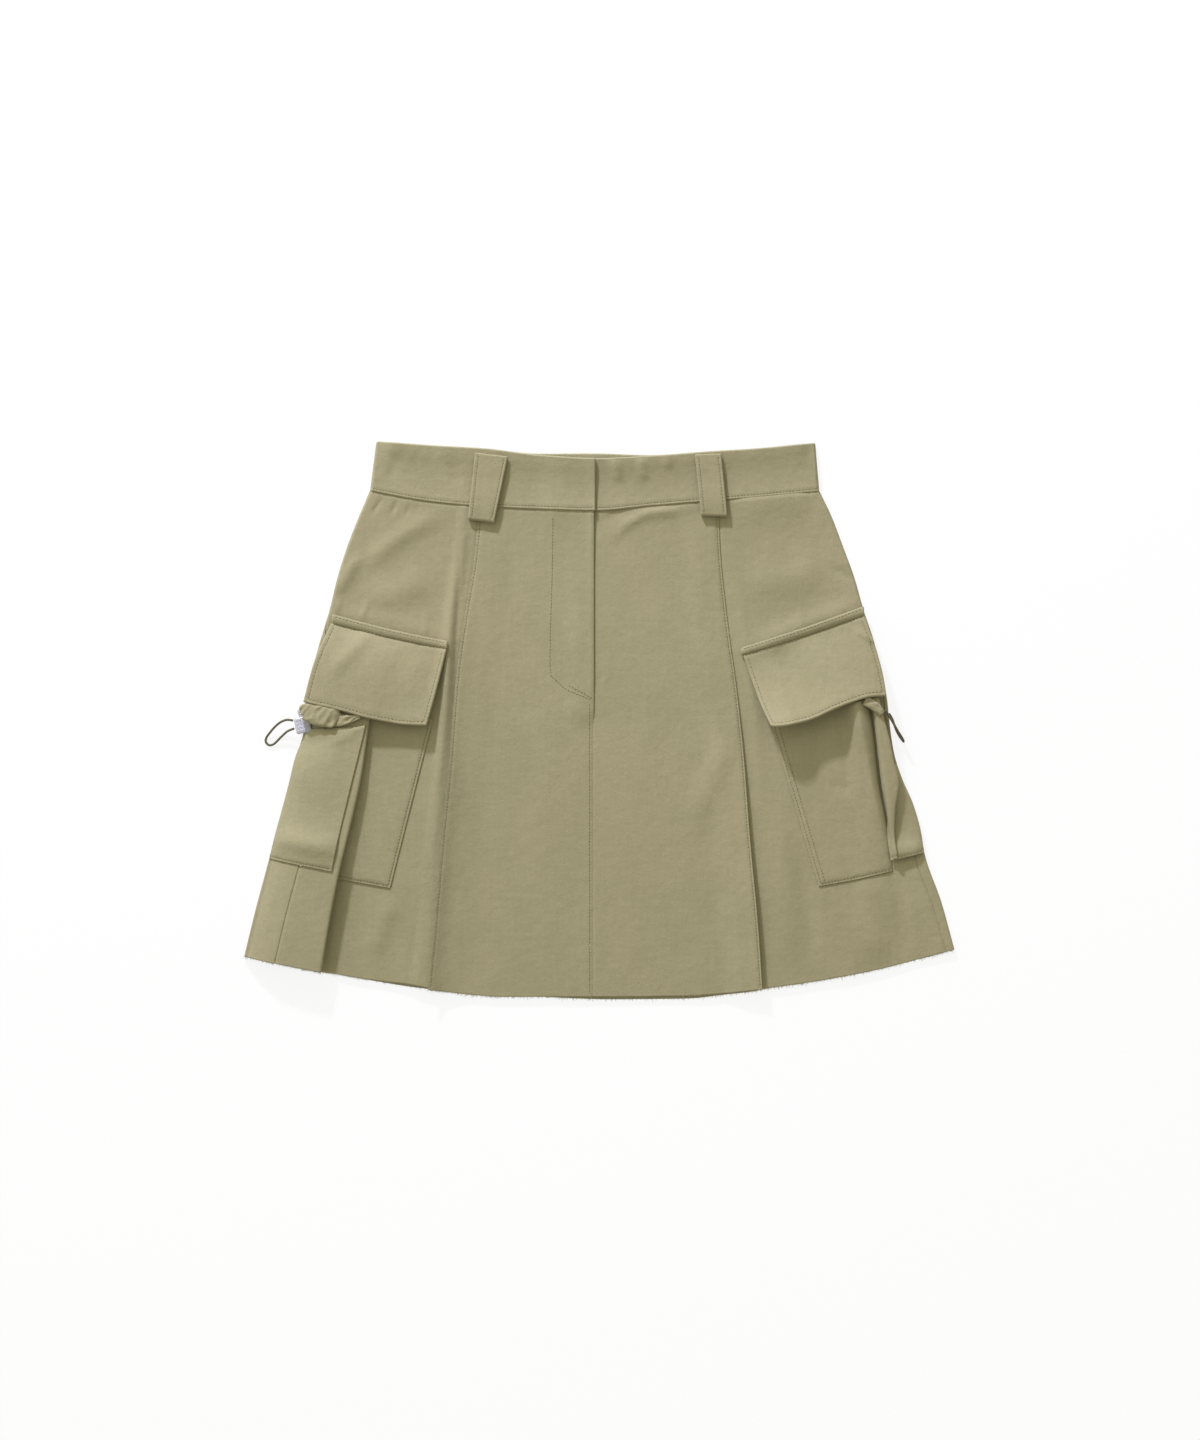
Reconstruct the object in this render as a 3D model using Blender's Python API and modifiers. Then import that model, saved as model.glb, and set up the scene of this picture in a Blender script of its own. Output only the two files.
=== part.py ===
"""Cargo utility skirt, laid flat on a surface with its front up.

The skirt is built from the pieces that a maker would cut. Each piece is a wall of cloth that runs through
sections across the skirt, one section for each level down from the waistband. Tables hold the sizes in
millimetres. x runs across the laid skirt, y towards the waist and z up from the surface it lies on.
"""

from collections import namedtuple
from math import cos, exp, pi, radians, sin

import bmesh
import bpy
from mathutils import Matrix, Vector

# Driving sizes, in millimetres
MM = 0.001
SKIRT_LENGTH = 373.0        # from the waistband seam to the hem, down the centre front
CENTRE_FRONT = -4.4         # x of the centre front seam
CLOTH = 1.2                 # wall of one ply of twill
BAND_WALL = 2.0             # folded waistband
FLAP_WALL = 2.0             # two plies, turned and stitched
LOOP_WALL = 1.6             # folded belt loop
SEAM_GAP = 0.3
SEAM_TRIM = 0.4             # taken off the back at the side seams, where the fold is tight
STRIP_CLEARANCE = 0.7       # between a flap and the panel that it is sewn to
LAYER = CLOTH + SEAM_GAP    # from the middle of one ply to the middle of the next
BACK_LEVEL = CLOTH / 2
FRONT_LEVEL = BACK_LEVEL + LAYER
BAND_BACK_LEVEL = BAND_WALL / 2
BAND_FRONT_LEVEL = 4.1
SIDE_FOLD_RADIUS = 1.3      # of the soft fold at each side of the skirt
BAND_LIFT_REACH = 25.0      # how far down the stiff waistband holds the panels up
UNDERLAY = 12.0             # how far a side panel runs under the centre panel
LAP_ZONE = 15.0             # how far in the centre panel stays above that underlay
BAND_SEAM_TURN = 0.3        # half the gap between front and back bands, as a turn round the side fold
FLY_LENGTH = 144.0
FLY_LAP = 8.0               # how far the right front runs under the left at the fly
BAND_LAP = 22.0             # how far the right waistband runs under the left
PLEAT_ROLL = 1.3            # radius of the pleat's upper fold
TUCK_ROLL = 1.0             # radius of its hidden inner fold
LOOP_ROLL = 1.3             # radius of the fold at a belt loop's foot
LOOP_FOOT = 0.965           # share of a belt loop's length where its foot folds under
LOOP_RETURN = 0.05          # share of its length that runs back under the foot
CORD_RADIUS = 0.9

# How softly the laid cloth settles, in millimetres across the skirt
SETTLED_GAP = 0.3           # air left under a front panel that lies free
SIDE_SETTLE = 16.0          # from the side fold to where the panel lies flat
UNDERLAY_RAMP = 13.0        # from the underlay up to the side panel's own level
LAP_RAMP = 18.0             # from the lap zone down to the centre panel's own level
BAND_LAP_RAMP = 24.0        # along which the left waistband climbs onto the right one
ROLL_HEIGHT = 1.5           # soft roll beside the edge of the centre panel
ROLL_PLACE = 15.0
ROLL_HALF_WIDTH = 6.0
ROLL_FADE = 60.0            # down the skirt, at each end of the roll
ROLL_END = 210.0
LIFT_EDGE = 4.0             # strip of the centre panel that lifts evenly
LIFT_FADE = 16.0            # along which the lift dies away
FLY_RAMP = 16.0             # across, from the fly's lap to the panel's own level
FLY_FADE = 20.0             # down, below the fly
FLY_RUN_OUT = 14.0          # along which the fly's underlap narrows to nothing
POCKET_BULGE_FOOT = 28.0    # from the right pocket's crease to the foot of its bulge
POCKET_BULGE_TOP = 5.0      # from the crease to the top of the bulge
POCKET_BULGE_RAMP = 21.0
GUSSET_TUCK = 5.0           # how far the outer half of the right pocket runs under the gusset
POCKET_WRAP = 0.82          # share of the side fold that the outer pocket halves wrap round
FLAP_SPRING = 1.15          # above 1, a flap bends mostly near its hinge

# Heights of the waistband's edges: across is the share of the half width, -1 at the left side fold
WaistRow = namedtuple("WaistRow", "across seam top back_top")
WAIST = (
    WaistRow(-1.00, 176.3, 214.3, 214.3),
    WaistRow(-0.75, 168.4, 211.0, 211.0),
    WaistRow(-0.50, 164.1, 207.9, 207.9),
    WaistRow(-0.25, 162.2, 202.9, 204.3),
    WaistRow(0.00, 160.9, 200.4, 203.6),
    WaistRow(0.25, 164.6, 202.4, 204.4),
    WaistRow(0.50, 168.2, 203.8, 203.8),
    WaistRow(0.75, 171.7, 207.9, 207.9),
    WaistRow(1.00, 175.9, 212.5, 212.5),
)
BAND_HALF_TOP = (166.4, 170.1)      # half widths of the waistband's top edge, left and right

HemRow = namedtuple("HemRow", "across hem")
HEM = (
    HemRow(-1.00, -181.3),
    HemRow(-0.75, -194.4),
    HemRow(-0.50, -205.8),
    HemRow(-0.25, -212.5),
    HemRow(0.00, -212.5),
    HemRow(0.25, -211.9),
    HemRow(0.50, -205.2),
    HemRow(0.75, -193.7),
    HemRow(1.00, -176.3),
)

# Outline: half widths from the centre front to each side fold, by the level below the waistband
OutlineRow = namedtuple("OutlineRow", "down left right")
OUTLINE = (
    OutlineRow(0, 172.2, 173.8),
    OutlineRow(20, 179.7, 183.0),
    OutlineRow(45, 188.8, 191.8),
    OutlineRow(70, 196.2, 200.3),
    OutlineRow(96, 201.6, 207.1),
    OutlineRow(122, 209.2, 215.9),
    OutlineRow(150, 217.4, 222.7),
    OutlineRow(168, 220.9, 226.1),
    OutlineRow(195, 222.7, 228.6),
    OutlineRow(215, 228.8, 231.9),
    OutlineRow(235, 233.5, 238.4),
    OutlineRow(255, 238.4, 246.6),
    OutlineRow(276, 243.8, 251.7),
    OutlineRow(296, 248.9, 255.0),
    OutlineRow(335, 258.4, 267.4),
    OutlineRow(373, 267.6, 275.8),
)

# Front edges of the centre panels, and how far those edges lift where the pleats open
PrincessRow = namedtuple("PrincessRow", "down left right lift")
PRINCESS = (
    PrincessRow(0, -92.0, 91.0, 0.0),
    PrincessRow(38, -95.6, 92.6, 0.0),
    PrincessRow(91, -104.2, 97.9, 0.0),
    PrincessRow(136, -109.9, 104.2, 0.2),
    PrincessRow(198, -114.7, 111.3, 1.0),
    PrincessRow(256, -120.4, 115.8, 1.8),
    PrincessRow(328, -126.6, 122.4, 2.6),
    PrincessRow(373, -130.8, 125.6, 3.0),
)

# Side seams: the length round from each side fold to the seam on the front
SeamRow = namedtuple("SeamRow", "down left right")
SIDE_SEAM = (
    SeamRow(0, 0.0, 0.0),
    SeamRow(100, 0.0, 0.0),
    SeamRow(122, 5.0, 1.0),
    SeamRow(170, 15.0, 3.0),
    SeamRow(245, 21.0, 6.5),
    SeamRow(296, 24.4, 7.8),
    SeamRow(373, 24.5, 6.5),
)

# Knife pleat at the left side: x of its folded edge, how far it tucks back, and its height
PleatRow = namedtuple("PleatRow", "down edge tuck height opened")
PLEAT = (
    PleatRow(0, -150.0, 14.0, 3.9, 0.0),
    PleatRow(60, -160.0, 14.0, 2.6, 0.0),
    PleatRow(105, -170.0, 14.0, 2.5, 0.0),
    PleatRow(140, -173.0, 14.0, 7.0, 0.0),
    PleatRow(160, -175.0, 14.0, 8.6, 0.65),
    PleatRow(175, -176.9, 14.5, 9.6, 1.0),
    PleatRow(215, -182.4, 18.0, 11.5, 1.0),
    PleatRow(246, -188.6, 20.0, 12.6, 1.0),
    PleatRow(293, -199.4, 24.0, 14.6, 1.0),
    PleatRow(340, -208.3, 27.0, 15.2, 1.0),
    PleatRow(373, -213.6, 28.0, 14.6, 1.0),
)

# The pleat where it still lies closed: each point's distance from the edge and its fall to the lower layer
ClosedPoint = namedtuple("ClosedPoint", "x fall")
PLEAT_CLOSED = (
    ClosedPoint(-4.0, 0.00),
    ClosedPoint(-2.9, 0.04),
    ClosedPoint(-2.0, 0.14),
    ClosedPoint(-1.2, 0.28),
    ClosedPoint(-0.4, 0.42),
    ClosedPoint(0.4, 0.58),
    ClosedPoint(1.2, 0.72),
    ClosedPoint(2.0, 0.86),
    ClosedPoint(2.9, 0.96),
    ClosedPoint(4.0, 1.00),
)

# Left pocket: the outer half's folded edge, and the side edge of the front half
PocketLeftRow = namedtuple("PocketLeftRow", "down outer_edge front_edge")
POCKET_LEFT = (
    PocketLeftRow(160, -176.6, -126.8),
    PocketLeftRow(178, -179.4, -131.2),
    PocketLeftRow(234, -192.2, -145.0),
    PocketLeftRow(282, -202.8, -156.8),
    PocketLeftRow(301, -206.0, -161.4),
)
POCKET_TOP = 166.0
OUTER_LEFT_TOPS = (196.0, 178.0)    # its top edge, at the side fold and at the pleat
OUTER_BOTTOM = 294.5
FRONT_BOTTOM = 300.0

# Right pocket: x of its front edge, of the crease beside the gusset and of the gusset's outer edge,
# with the heights of the bulge beside the crease, of the crease itself and of the gusset
PocketRightRow = namedtuple("PocketRightRow", "down front_edge crease gusset_edge bulge crease_level gusset")
POCKET_RIGHT = (
    PocketRightRow(166, 129.8, 206.2, 214.0, 12.6, 7.0, 12.2),
    PocketRightRow(180, 133.8, 208.6, 217.4, 12.6, 7.0, 12.2),
    PocketRightRow(204, 140.7, 211.5, 223.2, 11.4, 6.4, 11.6),
    PocketRightRow(219, 145.0, 213.1, 226.0, 10.6, 6.0, 11.4),
    PocketRightRow(236, 149.9, 215.2, 229.8, 9.6, 5.6, 11.0),
    PocketRightRow(255, 155.4, 219.0, 227.2, 8.4, 5.4, 10.4),
    PocketRightRow(271, 160.0, 221.6, 226.6, 7.2, 5.2, 9.4),
    PocketRightRow(296, 167.2, 224.6, 229.4, 5.2, 4.4, 7.4),
    PocketRightRow(304, 169.5, 225.6, 230.2, 4.6, 4.0, 7.0),
)
GUSSET_BOTTOM = 293.0
ArchPoint = namedtuple("ArchPoint", "share rise")
GUSSET_ARCH = (
    ArchPoint(0.00, 0.00),
    ArchPoint(0.12, 0.62),
    ArchPoint(0.28, 0.94),
    ArchPoint(0.50, 1.00),
    ArchPoint(0.72, 0.96),
    ArchPoint(0.90, 0.80),
    ArchPoint(1.00, 0.45),
)
OUTER_RIGHT_TOP = 222.0

# Flaps: points down each side edge and the height of the free bottom edge
FlapSide = namedtuple("FlapSide", "share x down")
FlapBottom = namedtuple("FlapBottom", "share level sag")
FLAP_LEFT_OUTER = (
    FlapSide(0.0, -205.6, 106.0),
    FlapSide(0.5, -218.0, 138.0),
    FlapSide(1.0, -226.0, 169.1),
)
FLAP_LEFT_INNER = (
    FlapSide(0.0, -117.6, 111.6),
    FlapSide(0.5, -125.0, 142.0),
    FlapSide(1.0, -132.9, 171.4),
)
FLAP_LEFT_BOTTOM = (
    FlapBottom(0.0, 16.0, 0.0),
    FlapBottom(0.3, 15.6, 0.4),
    FlapBottom(0.55, 15.0, 2.0),
    FlapBottom(0.8, 13.4, 2.2),
    FlapBottom(1.0, 13.4, 0.0),
)
FLAP_RIGHT_INNER = (
    FlapSide(0.0, 111.1, 119.4),
    FlapSide(0.35, 118.0, 140.4),
    FlapSide(0.75, 125.4, 161.5),
    FlapSide(1.0, 131.4, 175.1),
)
FLAP_RIGHT_OUTER = (
    FlapSide(0.0, 203.4, 101.6),
    FlapSide(0.4, 211.6, 123.5),
    FlapSide(0.75, 218.8, 149.0),
    FlapSide(1.0, 221.8, 165.9),
)
FLAP_RIGHT_BOTTOM = (
    FlapBottom(0.0, 19.4, 0.0),
    FlapBottom(0.15, 18.2, 2.3),
    FlapBottom(0.35, 17.4, 2.2),
    FlapBottom(0.6, 17.6, -2.0),
    FlapBottom(0.82, 17.2, -3.0),
    FlapBottom(1.0, 14.6, 0.0),
)

# Strips that hold the flaps: the two ends of the top edge and of the bottom edge, as x and down
StripEnd = namedtuple("StripEnd", "x top bottom")
STRIP_LEFT = (StripEnd(-204.8, 99.0, 105.4), StripEnd(-117.0, 105.6, 111.0))
STRIP_RIGHT = (StripEnd(109.4, 113.7, 118.8), StripEnd(202.6, 94.6, 101.0))

# Belt loops: corners on the waistband
LoopCorners = namedtuple("LoopCorners", "top_left top_right bottom_left bottom_right")
LOOP_LEFT = LoopCorners((-94.9, 204.6), (-70.7, 201.6), (-100.3, 154.0), (-81.2, 151.7))
LOOP_RIGHT = LoopCorners((73.9, 203.2), (93.1, 203.8), (78.5, 157.1), (97.9, 156.6))

LoopRow = namedtuple("LoopRow", "share level")
LOOP_PROFILE = (
    LoopRow(0.00, 6.3),
    LoopRow(0.12, 6.7),
    LoopRow(0.40, 7.6),
    LoopRow(0.70, 8.4),
    LoopRow(0.96, 8.7),
)

# Drawcord casings: gathered tubes of cloth, from the free end to the end under the flap
CasingRow = namedtuple("CasingRow", "x y level width height")
CASING_LEFT = (
    CasingRow(-228.6, 4.6, 12.6, 8.0, 3.6),
    CasingRow(-225.6, 4.8, 12.5, 12.6, 3.8),
    CasingRow(-221.0, 4.2, 12.3, 16.2, 4.0),
    CasingRow(-215.0, 3.4, 12.0, 17.0, 4.0),
    CasingRow(-209.0, 2.6, 12.0, 15.8, 4.0),
    CasingRow(-203.4, 1.8, 12.1, 14.6, 3.8),
    CasingRow(-198.6, -0.6, 12.2, 11.4, 3.6),
    CasingRow(-192.0, 0.2, 12.6, 7.6, 3.4),
    CasingRow(-186.4, 1.0, 13.0, 5.0, 3.2),
)
CASING_RIGHT = (
    CasingRow(216.4, 4.6, 14.5, 5.0, 3.6),
    CasingRow(212.6, 9.4, 14.6, 7.0, 3.6),
    CasingRow(208.0, 12.6, 14.7, 7.6, 3.6),
    CasingRow(203.0, 14.8, 14.8, 7.0, 3.4),
)

LOCK_CENTRE = (-227.6, -3.8, 7.4)
LOCK_SIZE = (12.0, 12.6, 5.0)
LOCK_TURN = radians(12.0)
LOCK_ROUND = 1.4
PLUNGER_RADIUS = 2.1
PLUNGER_LENGTH = 6.0
PLUNGER_ROUND = 0.6

# Routes of the elastic cord loops
CordPoint = namedtuple("CordPoint", "x y z")
CORD_LEFT = (
    CordPoint(-235.2, -0.4, 7.4),
    CordPoint(-239.8, 0.2, 6.9),
    CordPoint(-245.1, -1.7, 5.6),
    CordPoint(-249.8, -5.8, 4.0),
    CordPoint(-253.6, -10.6, 2.4),
    CordPoint(-256.0, -15.2, 1.3),
    CordPoint(-255.8, -19.0, 1.0),
    CordPoint(-252.4, -20.6, 1.0),
    CordPoint(-248.2, -18.0, 1.6),
    CordPoint(-244.0, -13.6, 3.2),
    CordPoint(-239.4, -9.4, 5.4),
    CordPoint(-234.4, -6.6, 7.2),
)
CORD_RIGHT = (
    CordPoint(218.8, 7.4, 14.1),
    CordPoint(221.6, 3.6, 12.6),
    CordPoint(225.4, -2.2, 11.0),
    CordPoint(229.0, -8.6, 9.6),
    CordPoint(232.0, -13.6, 8.0),
    CordPoint(233.6, -16.4, 5.6),
    CordPoint(233.9, -16.6, 3.0),
    CordPoint(232.6, -14.0, 1.2),
    CordPoint(229.4, -8.8, 1.6),
    CordPoint(227.2, -4.4, 3.8),
    CordPoint(225.2, 0.2, 6.8),
    CordPoint(222.4, 4.8, 9.4),
)

Finish = namedtuple("Finish", "colour roughness metallic")
TWILL = Finish((0.355, 0.325, 0.195, 1.0), 0.88, 0.0)
TWILL_EDGE = Finish((0.375, 0.345, 0.21, 1.0), 0.88, 0.0)
CORD = Finish((0.10, 0.085, 0.05, 1.0), 0.75, 0.0)
CLEAR_PLASTIC = Finish((0.72, 0.70, 0.78, 1.0), 0.3, 0.0)


# Tables and soft steps

def curve(rows, key, value, at):
    """Read one column of a table at a place on another, along a smooth curve that never overshoots."""
    keys = [getattr(row, key) for row in rows]
    values = [getattr(row, value) for row in rows]
    if at <= keys[0]:
        return values[0]
    if at >= keys[-1]:
        return values[-1]
    slopes = [(values[i + 1] - values[i]) / (keys[i + 1] - keys[i]) for i in range(len(keys) - 1)]
    bends = [slopes[0]]
    for before, after in zip(slopes, slopes[1:]):
        bends.append(2 * before * after / (before + after) if before * after > 0 else 0.0)
    bends.append(slopes[-1])
    i = max(index for index, place in enumerate(keys) if place <= at)
    span = keys[i + 1] - keys[i]
    t = (at - keys[i]) / span
    return (
        (2 * t**3 - 3 * t**2 + 1) * values[i]
        + (t**3 - 2 * t**2 + t) * span * bends[i]
        + (3 * t**2 - 2 * t**3) * values[i + 1]
        + (t**3 - t**2) * span * bends[i + 1]
    )


def mix(start, end, share):
    """Go from start to end by a share."""
    return start + (end - start) * share


def ease(share):
    """Go softly from 0 to 1."""
    share = min(1.0, max(0.0, share))
    return share * share * (3 - 2 * share)


def spread(start, end, count):
    """Space a count of values evenly from start to end."""
    return [mix(start, end, i / (count - 1)) for i in range(count)]


# The laid skirt: its outline, its level lines and the height of each layer

def side_x(side, down):
    """Find x of the skirt's left (-1) or right (+1) side fold at a level."""
    column = "left" if side < 0 else "right"
    return CENTRE_FRONT + side * curve(OUTLINE, "down", column, down)


def level_y(x, down):
    """Find y of a point on the skirt from its x and its level below the waistband."""
    side = -1 if x < CENTRE_FRONT else 1
    across = (x - CENTRE_FRONT) / abs(side_x(side, down) - CENTRE_FRONT)
    seam = curve(WAIST, "across", "seam", across)
    hem = curve(HEM, "across", "hem", across)
    return mix(seam, hem, down / SKIRT_LENGTH)


def band_hold(down):
    """Tell how much the waistband still lifts the panels at a level."""
    return exp(-down / BAND_LIFT_REACH)


def fold_radius(down):
    """Find the radius of the side fold, larger at the stiff waistband."""
    return mix(SIDE_FOLD_RADIUS, (BAND_FRONT_LEVEL - BACK_LEVEL) / 2, band_hold(down))


def fold_centre(side, down):
    """Find x of the middle of the side fold."""
    return side_x(side, down) - side * (CLOTH / 2 + fold_radius(down))


def side_rest(side, x, down):
    """Find the height of a side panel that lies flat."""
    hold = band_hold(down)
    edge_level = BACK_LEVEL + 2 * fold_radius(down)
    middle = mix(FRONT_LEVEL + SETTLED_GAP, BAND_FRONT_LEVEL, hold)
    level = mix(edge_level, middle, ease(side * (fold_centre(side, down) - x) / SIDE_SETTLE))
    princess = curve(PRINCESS, "down", "left" if side < 0 else "right", down)
    from_princess = side * (x - princess)
    bump = exp(-(((from_princess - ROLL_PLACE) / ROLL_HALF_WIDTH) ** 2))
    roll = ROLL_HEIGHT * bump * ease(down / ROLL_FADE) * ease((ROLL_END - down) / ROLL_FADE)
    return mix(FRONT_LEVEL, level + roll, ease(from_princess / UNDERLAY_RAMP))


def centre_rest(side, x, down):
    """Find the height of a centre panel: over the underlay at its outer edge, lower in the middle."""
    hold = band_hold(down)
    princess = curve(PRINCESS, "down", "left" if side < 0 else "right", down)
    inward = side * (princess - x)
    lift = curve(PRINCESS, "down", "lift", down) * (1 - ease((inward - LIFT_EDGE) / LIFT_FADE))
    over_underlay = FRONT_LEVEL + LAYER + lift
    middle = mix(FRONT_LEVEL + SETTLED_GAP, BAND_FRONT_LEVEL, hold)
    level = mix(max(over_underlay, middle), middle, ease((inward - LAP_ZONE) / LAP_RAMP))
    if side < 0:
        over_fly = LAYER * (1 - ease((CENTRE_FRONT - x - FLY_LAP - 2.0) / FLY_RAMP))
        level += over_fly * (1 - ease((down - FLY_LENGTH - 6.0) / FLY_FADE))
    return level


def around_side(side, length, down):
    """Find x and z at a length round the tube from the back's flat, through the side fold to the front."""
    radius = fold_radius(down)
    centre = fold_centre(side, down)
    turn = length / radius
    if turn < pi:
        return centre + side * radius * sin(turn), BACK_LEVEL + radius * (1 - cos(turn))
    x = centre - side * (length - pi * radius)
    return x, side_front(side, x, down)


def side_front(side, x, down):
    """Find the height of the front's upper layer near the side fold, with the left pleat's rise."""
    level = side_rest(side, x, down)
    if side > 0:
        return level
    edge = curve(PLEAT, "down", "edge", down)
    height = curve(PLEAT, "down", "height", down)
    foot = fold_centre(side, down)
    share = min(1.0, max(0.0, (x - foot) / (edge - PLEAT_ROLL - foot)))
    rise = max(0.0, height - side_rest(side, edge, down))
    return level + rise * sin(share * pi / 2)


def seam_length(side, down):
    """Find how far round the tube the side seam lies."""
    past_fold = curve(SIDE_SEAM, "down", "left" if side < 0 else "right", down)
    return fold_radius(down) * pi / 2 + past_fold


# Sections of the pieces: each gives the x and z of one level's points

def back_section(down):
    """Run from the left side seam under the skirt to the right side seam."""
    left = [around_side(-1, length, down) for length in side_steps(-1, down, -SEAM_TRIM)]
    right = [around_side(1, length, down) for length in side_steps(1, down, -SEAM_TRIM)]
    flat = [(x, BACK_LEVEL) for x in spread(fold_centre(-1, down), fold_centre(1, down), 11)[1:-1]]
    return list(reversed(left)) + flat + right


def side_steps(side, down, trim):
    """Space the lengths round one side fold from the flat back to the seam."""
    end = seam_length(side, down) + trim
    fold_end = fold_radius(down) * pi
    if end < fold_end + 1.0:
        return spread(0.0, end, 9)
    return spread(0.0, fold_end, 6) + spread(fold_end, end, 4)[1:]


def pleat_points(down):
    """Find the points of the left pleat: its upper fold, the return under it and its inner fold."""
    edge = curve(PLEAT, "down", "edge", down)
    opened = curve(PLEAT, "down", "opened", down)
    inner = edge - curve(PLEAT, "down", "tuck", down)
    top = side_front(-1, edge - PLEAT_ROLL, down)
    low = side_rest(-1, edge + 4.0, down)
    closed = [(edge + point.x, mix(top, low, point.fall)) for point in PLEAT_CLOSED]
    folded = []
    for turn in spread(0.0, pi, 4):
        x = edge - PLEAT_ROLL * (1 - sin(turn))
        folded.append((x, top - PLEAT_ROLL * (1 - cos(turn))))
    start = folded[-1]
    end = (inner + TUCK_ROLL, low + 2 * TUCK_ROLL)
    for share in (0.36, 0.68):
        folded.append((mix(start[0], end[0], share), mix(start[1], end[1], ease(share))))
    for turn in spread(0.0, pi, 4):
        x = inner + TUCK_ROLL * (1 - sin(turn))
        folded.append((x, low + TUCK_ROLL * (1 + cos(turn))))
    return [(mix(a[0], b[0], opened), mix(a[1], b[1], opened)) for a, b in zip(closed, folded)]


def around_from_seam(side, down):
    """Find the first points of a side panel, from its side seam until it lies flat."""
    start = seam_length(side, down) + SEAM_GAP / 2
    end = max(start, fold_radius(down) * pi) + 2.0
    return [around_side(side, length, down) for length in spread(start, end, 5)]


def front_side_left_section(down):
    """Run from the left side seam over the pleat to the underlay beneath the centre panel."""
    points = around_from_seam(-1, down)
    pleat = pleat_points(down)
    first_x = points[-1][0]
    for x in spread(first_x, pleat[0][0], 8)[1:-1]:
        points.append((x, side_front(-1, x, down)))
    points += pleat
    princess = curve(PRINCESS, "down", "left", down)
    for x in spread(pleat[-1][0], princess - 0.5, 10)[1:]:
        points.append((x, side_rest(-1, x, down)))
    points.append((princess + UNDERLAY / 2, FRONT_LEVEL))
    points.append((princess + UNDERLAY, FRONT_LEVEL))
    return points


def front_side_right_section(down):
    """Run from the underlay beneath the centre panel to the right side seam."""
    around = around_from_seam(1, down)
    princess = curve(PRINCESS, "down", "right", down)
    points = [(princess - UNDERLAY, FRONT_LEVEL), (princess - UNDERLAY / 2, FRONT_LEVEL)]
    for x in spread(princess + 0.5, around[-1][0], 12)[:-1]:
        points.append((x, side_rest(1, x, down)))
    return points + list(reversed(around))


def centre_section(side):
    """Make the section function of one centre panel, from its outer edge to the centre front."""
    def section(down):
        princess = curve(PRINCESS, "down", "left" if side < 0 else "right", down)
        lap = FLY_LAP * ease((FLY_LENGTH - down) / FLY_RUN_OUT) if side > 0 else 0.0
        inner = CENTRE_FRONT + side * SEAM_GAP / 2 - lap
        steps = (0.0, 4.0, 9.0, 14.0, 19.0, 25.0, 33.0)
        across = [princess - side * step for step in steps]
        across += spread(across[-1], inner, 7)[1:]
        points = [(x, centre_rest(side, x, down)) for x in across]
        return points if side < 0 else list(reversed(points))
    return section


def moved_out(points, distance):
    """Move a section's points out along its own normal."""
    out = []
    for i, (x, z) in enumerate(points):
        before = points[max(0, i - 1)]
        after = points[min(len(points) - 1, i + 1)]
        run = Vector((after[0] - before[0], after[1] - before[1])).normalized()
        out.append((x - run.y * distance, z + run.x * distance))
    return out


def outer_left_section(down):
    """Lay the left pocket's outer half on the pleat, from the side fold to its folded edge."""
    start = fold_radius(down) * pi * POCKET_WRAP
    end = curve(POCKET_LEFT, "down", "outer_edge", down)
    first = around_side(-1, start, down)
    points = [first, around_side(-1, fold_radius(down) * pi + 0.6, down)]
    points += [(x, side_front(-1, x, down)) for x in spread(points[-1][0], end, 8)[1:]]
    return moved_out(points, LAYER)


def front_left_section(down):
    """Lay the left pocket's front half on the lower layer, from inside the pleat to its side edge."""
    inner = pleat_points(down)[-1][0]
    start = inner + 8.0
    end = curve(POCKET_LEFT, "down", "front_edge", down)
    points = [(x, side_rest(-1, x, down)) for x in spread(start, end, 8)]
    return moved_out(points, LAYER)


def pocket_right(column, down):
    """Read the right pocket's table."""
    return curve(POCKET_RIGHT, "down", column, down)


def front_right_section(down):
    """Run from the right pocket's front edge over its bulge to the crease beside the gusset."""
    start = pocket_right("front_edge", down)
    crease = pocket_right("crease", down)
    bulge = pocket_right("bulge", down)
    points = []
    foot = crease - POCKET_BULGE_FOOT
    for x in spread(start, foot, 5) + spread(foot, crease - POCKET_BULGE_TOP, 6)[1:]:
        low = side_rest(1, x, down) + LAYER
        points.append((x, mix(low, max(low, bulge), ease((x - foot) / POCKET_BULGE_RAMP))))
    top = points[-1][1]
    points.append((crease - 2.6, mix(top, pocket_right("crease_level", down), 0.4)))
    points.append((crease - SEAM_GAP, pocket_right("crease_level", down)))
    return points


def gusset_section(down):
    """Arch the right pocket's gusset from the crease up and over to its outer edge."""
    crease = pocket_right("crease", down) + 2 * SEAM_GAP + CLOTH
    edge = pocket_right("gusset_edge", down)
    top = pocket_right("gusset", down)
    foot = pocket_right("crease_level", down)
    span = edge - CLOTH / 2 - crease
    return [(crease + span * point.share, mix(foot, top, point.rise)) for point in GUSSET_ARCH]


def outer_right_section(down):
    """Lay the right pocket's outer half at the side fold, from beneath the gusset outwards."""
    start = pocket_right("gusset_edge", down) - GUSSET_TUCK
    first = around_side(1, fold_radius(down) * pi + 0.6, down)
    last = around_side(1, fold_radius(down) * pi * POCKET_WRAP, down)
    points = [(x, side_rest(1, x, down)) for x in spread(min(start, first[0] - 2.0), first[0], 6)]
    return moved_out(points + [last], LAYER)


# Building walls of cloth

def make_material(name, finish):
    """Make the material of one piece."""
    material = bpy.data.materials.new(name)
    material.use_nodes = True
    shader = material.node_tree.nodes["Principled BSDF"]
    shader.inputs["Base Color"].default_value = finish.colour
    shader.inputs["Roughness"].default_value = finish.roughness
    shader.inputs["Metallic"].default_value = finish.metallic
    return material


def add_object(name, mesh, finish, collection):
    """Put a mesh into the collection with its own material."""
    mesh.materials.append(make_material(name, finish))
    piece = bpy.data.objects.new(name, mesh)
    collection.objects.link(piece)
    return piece


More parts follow.
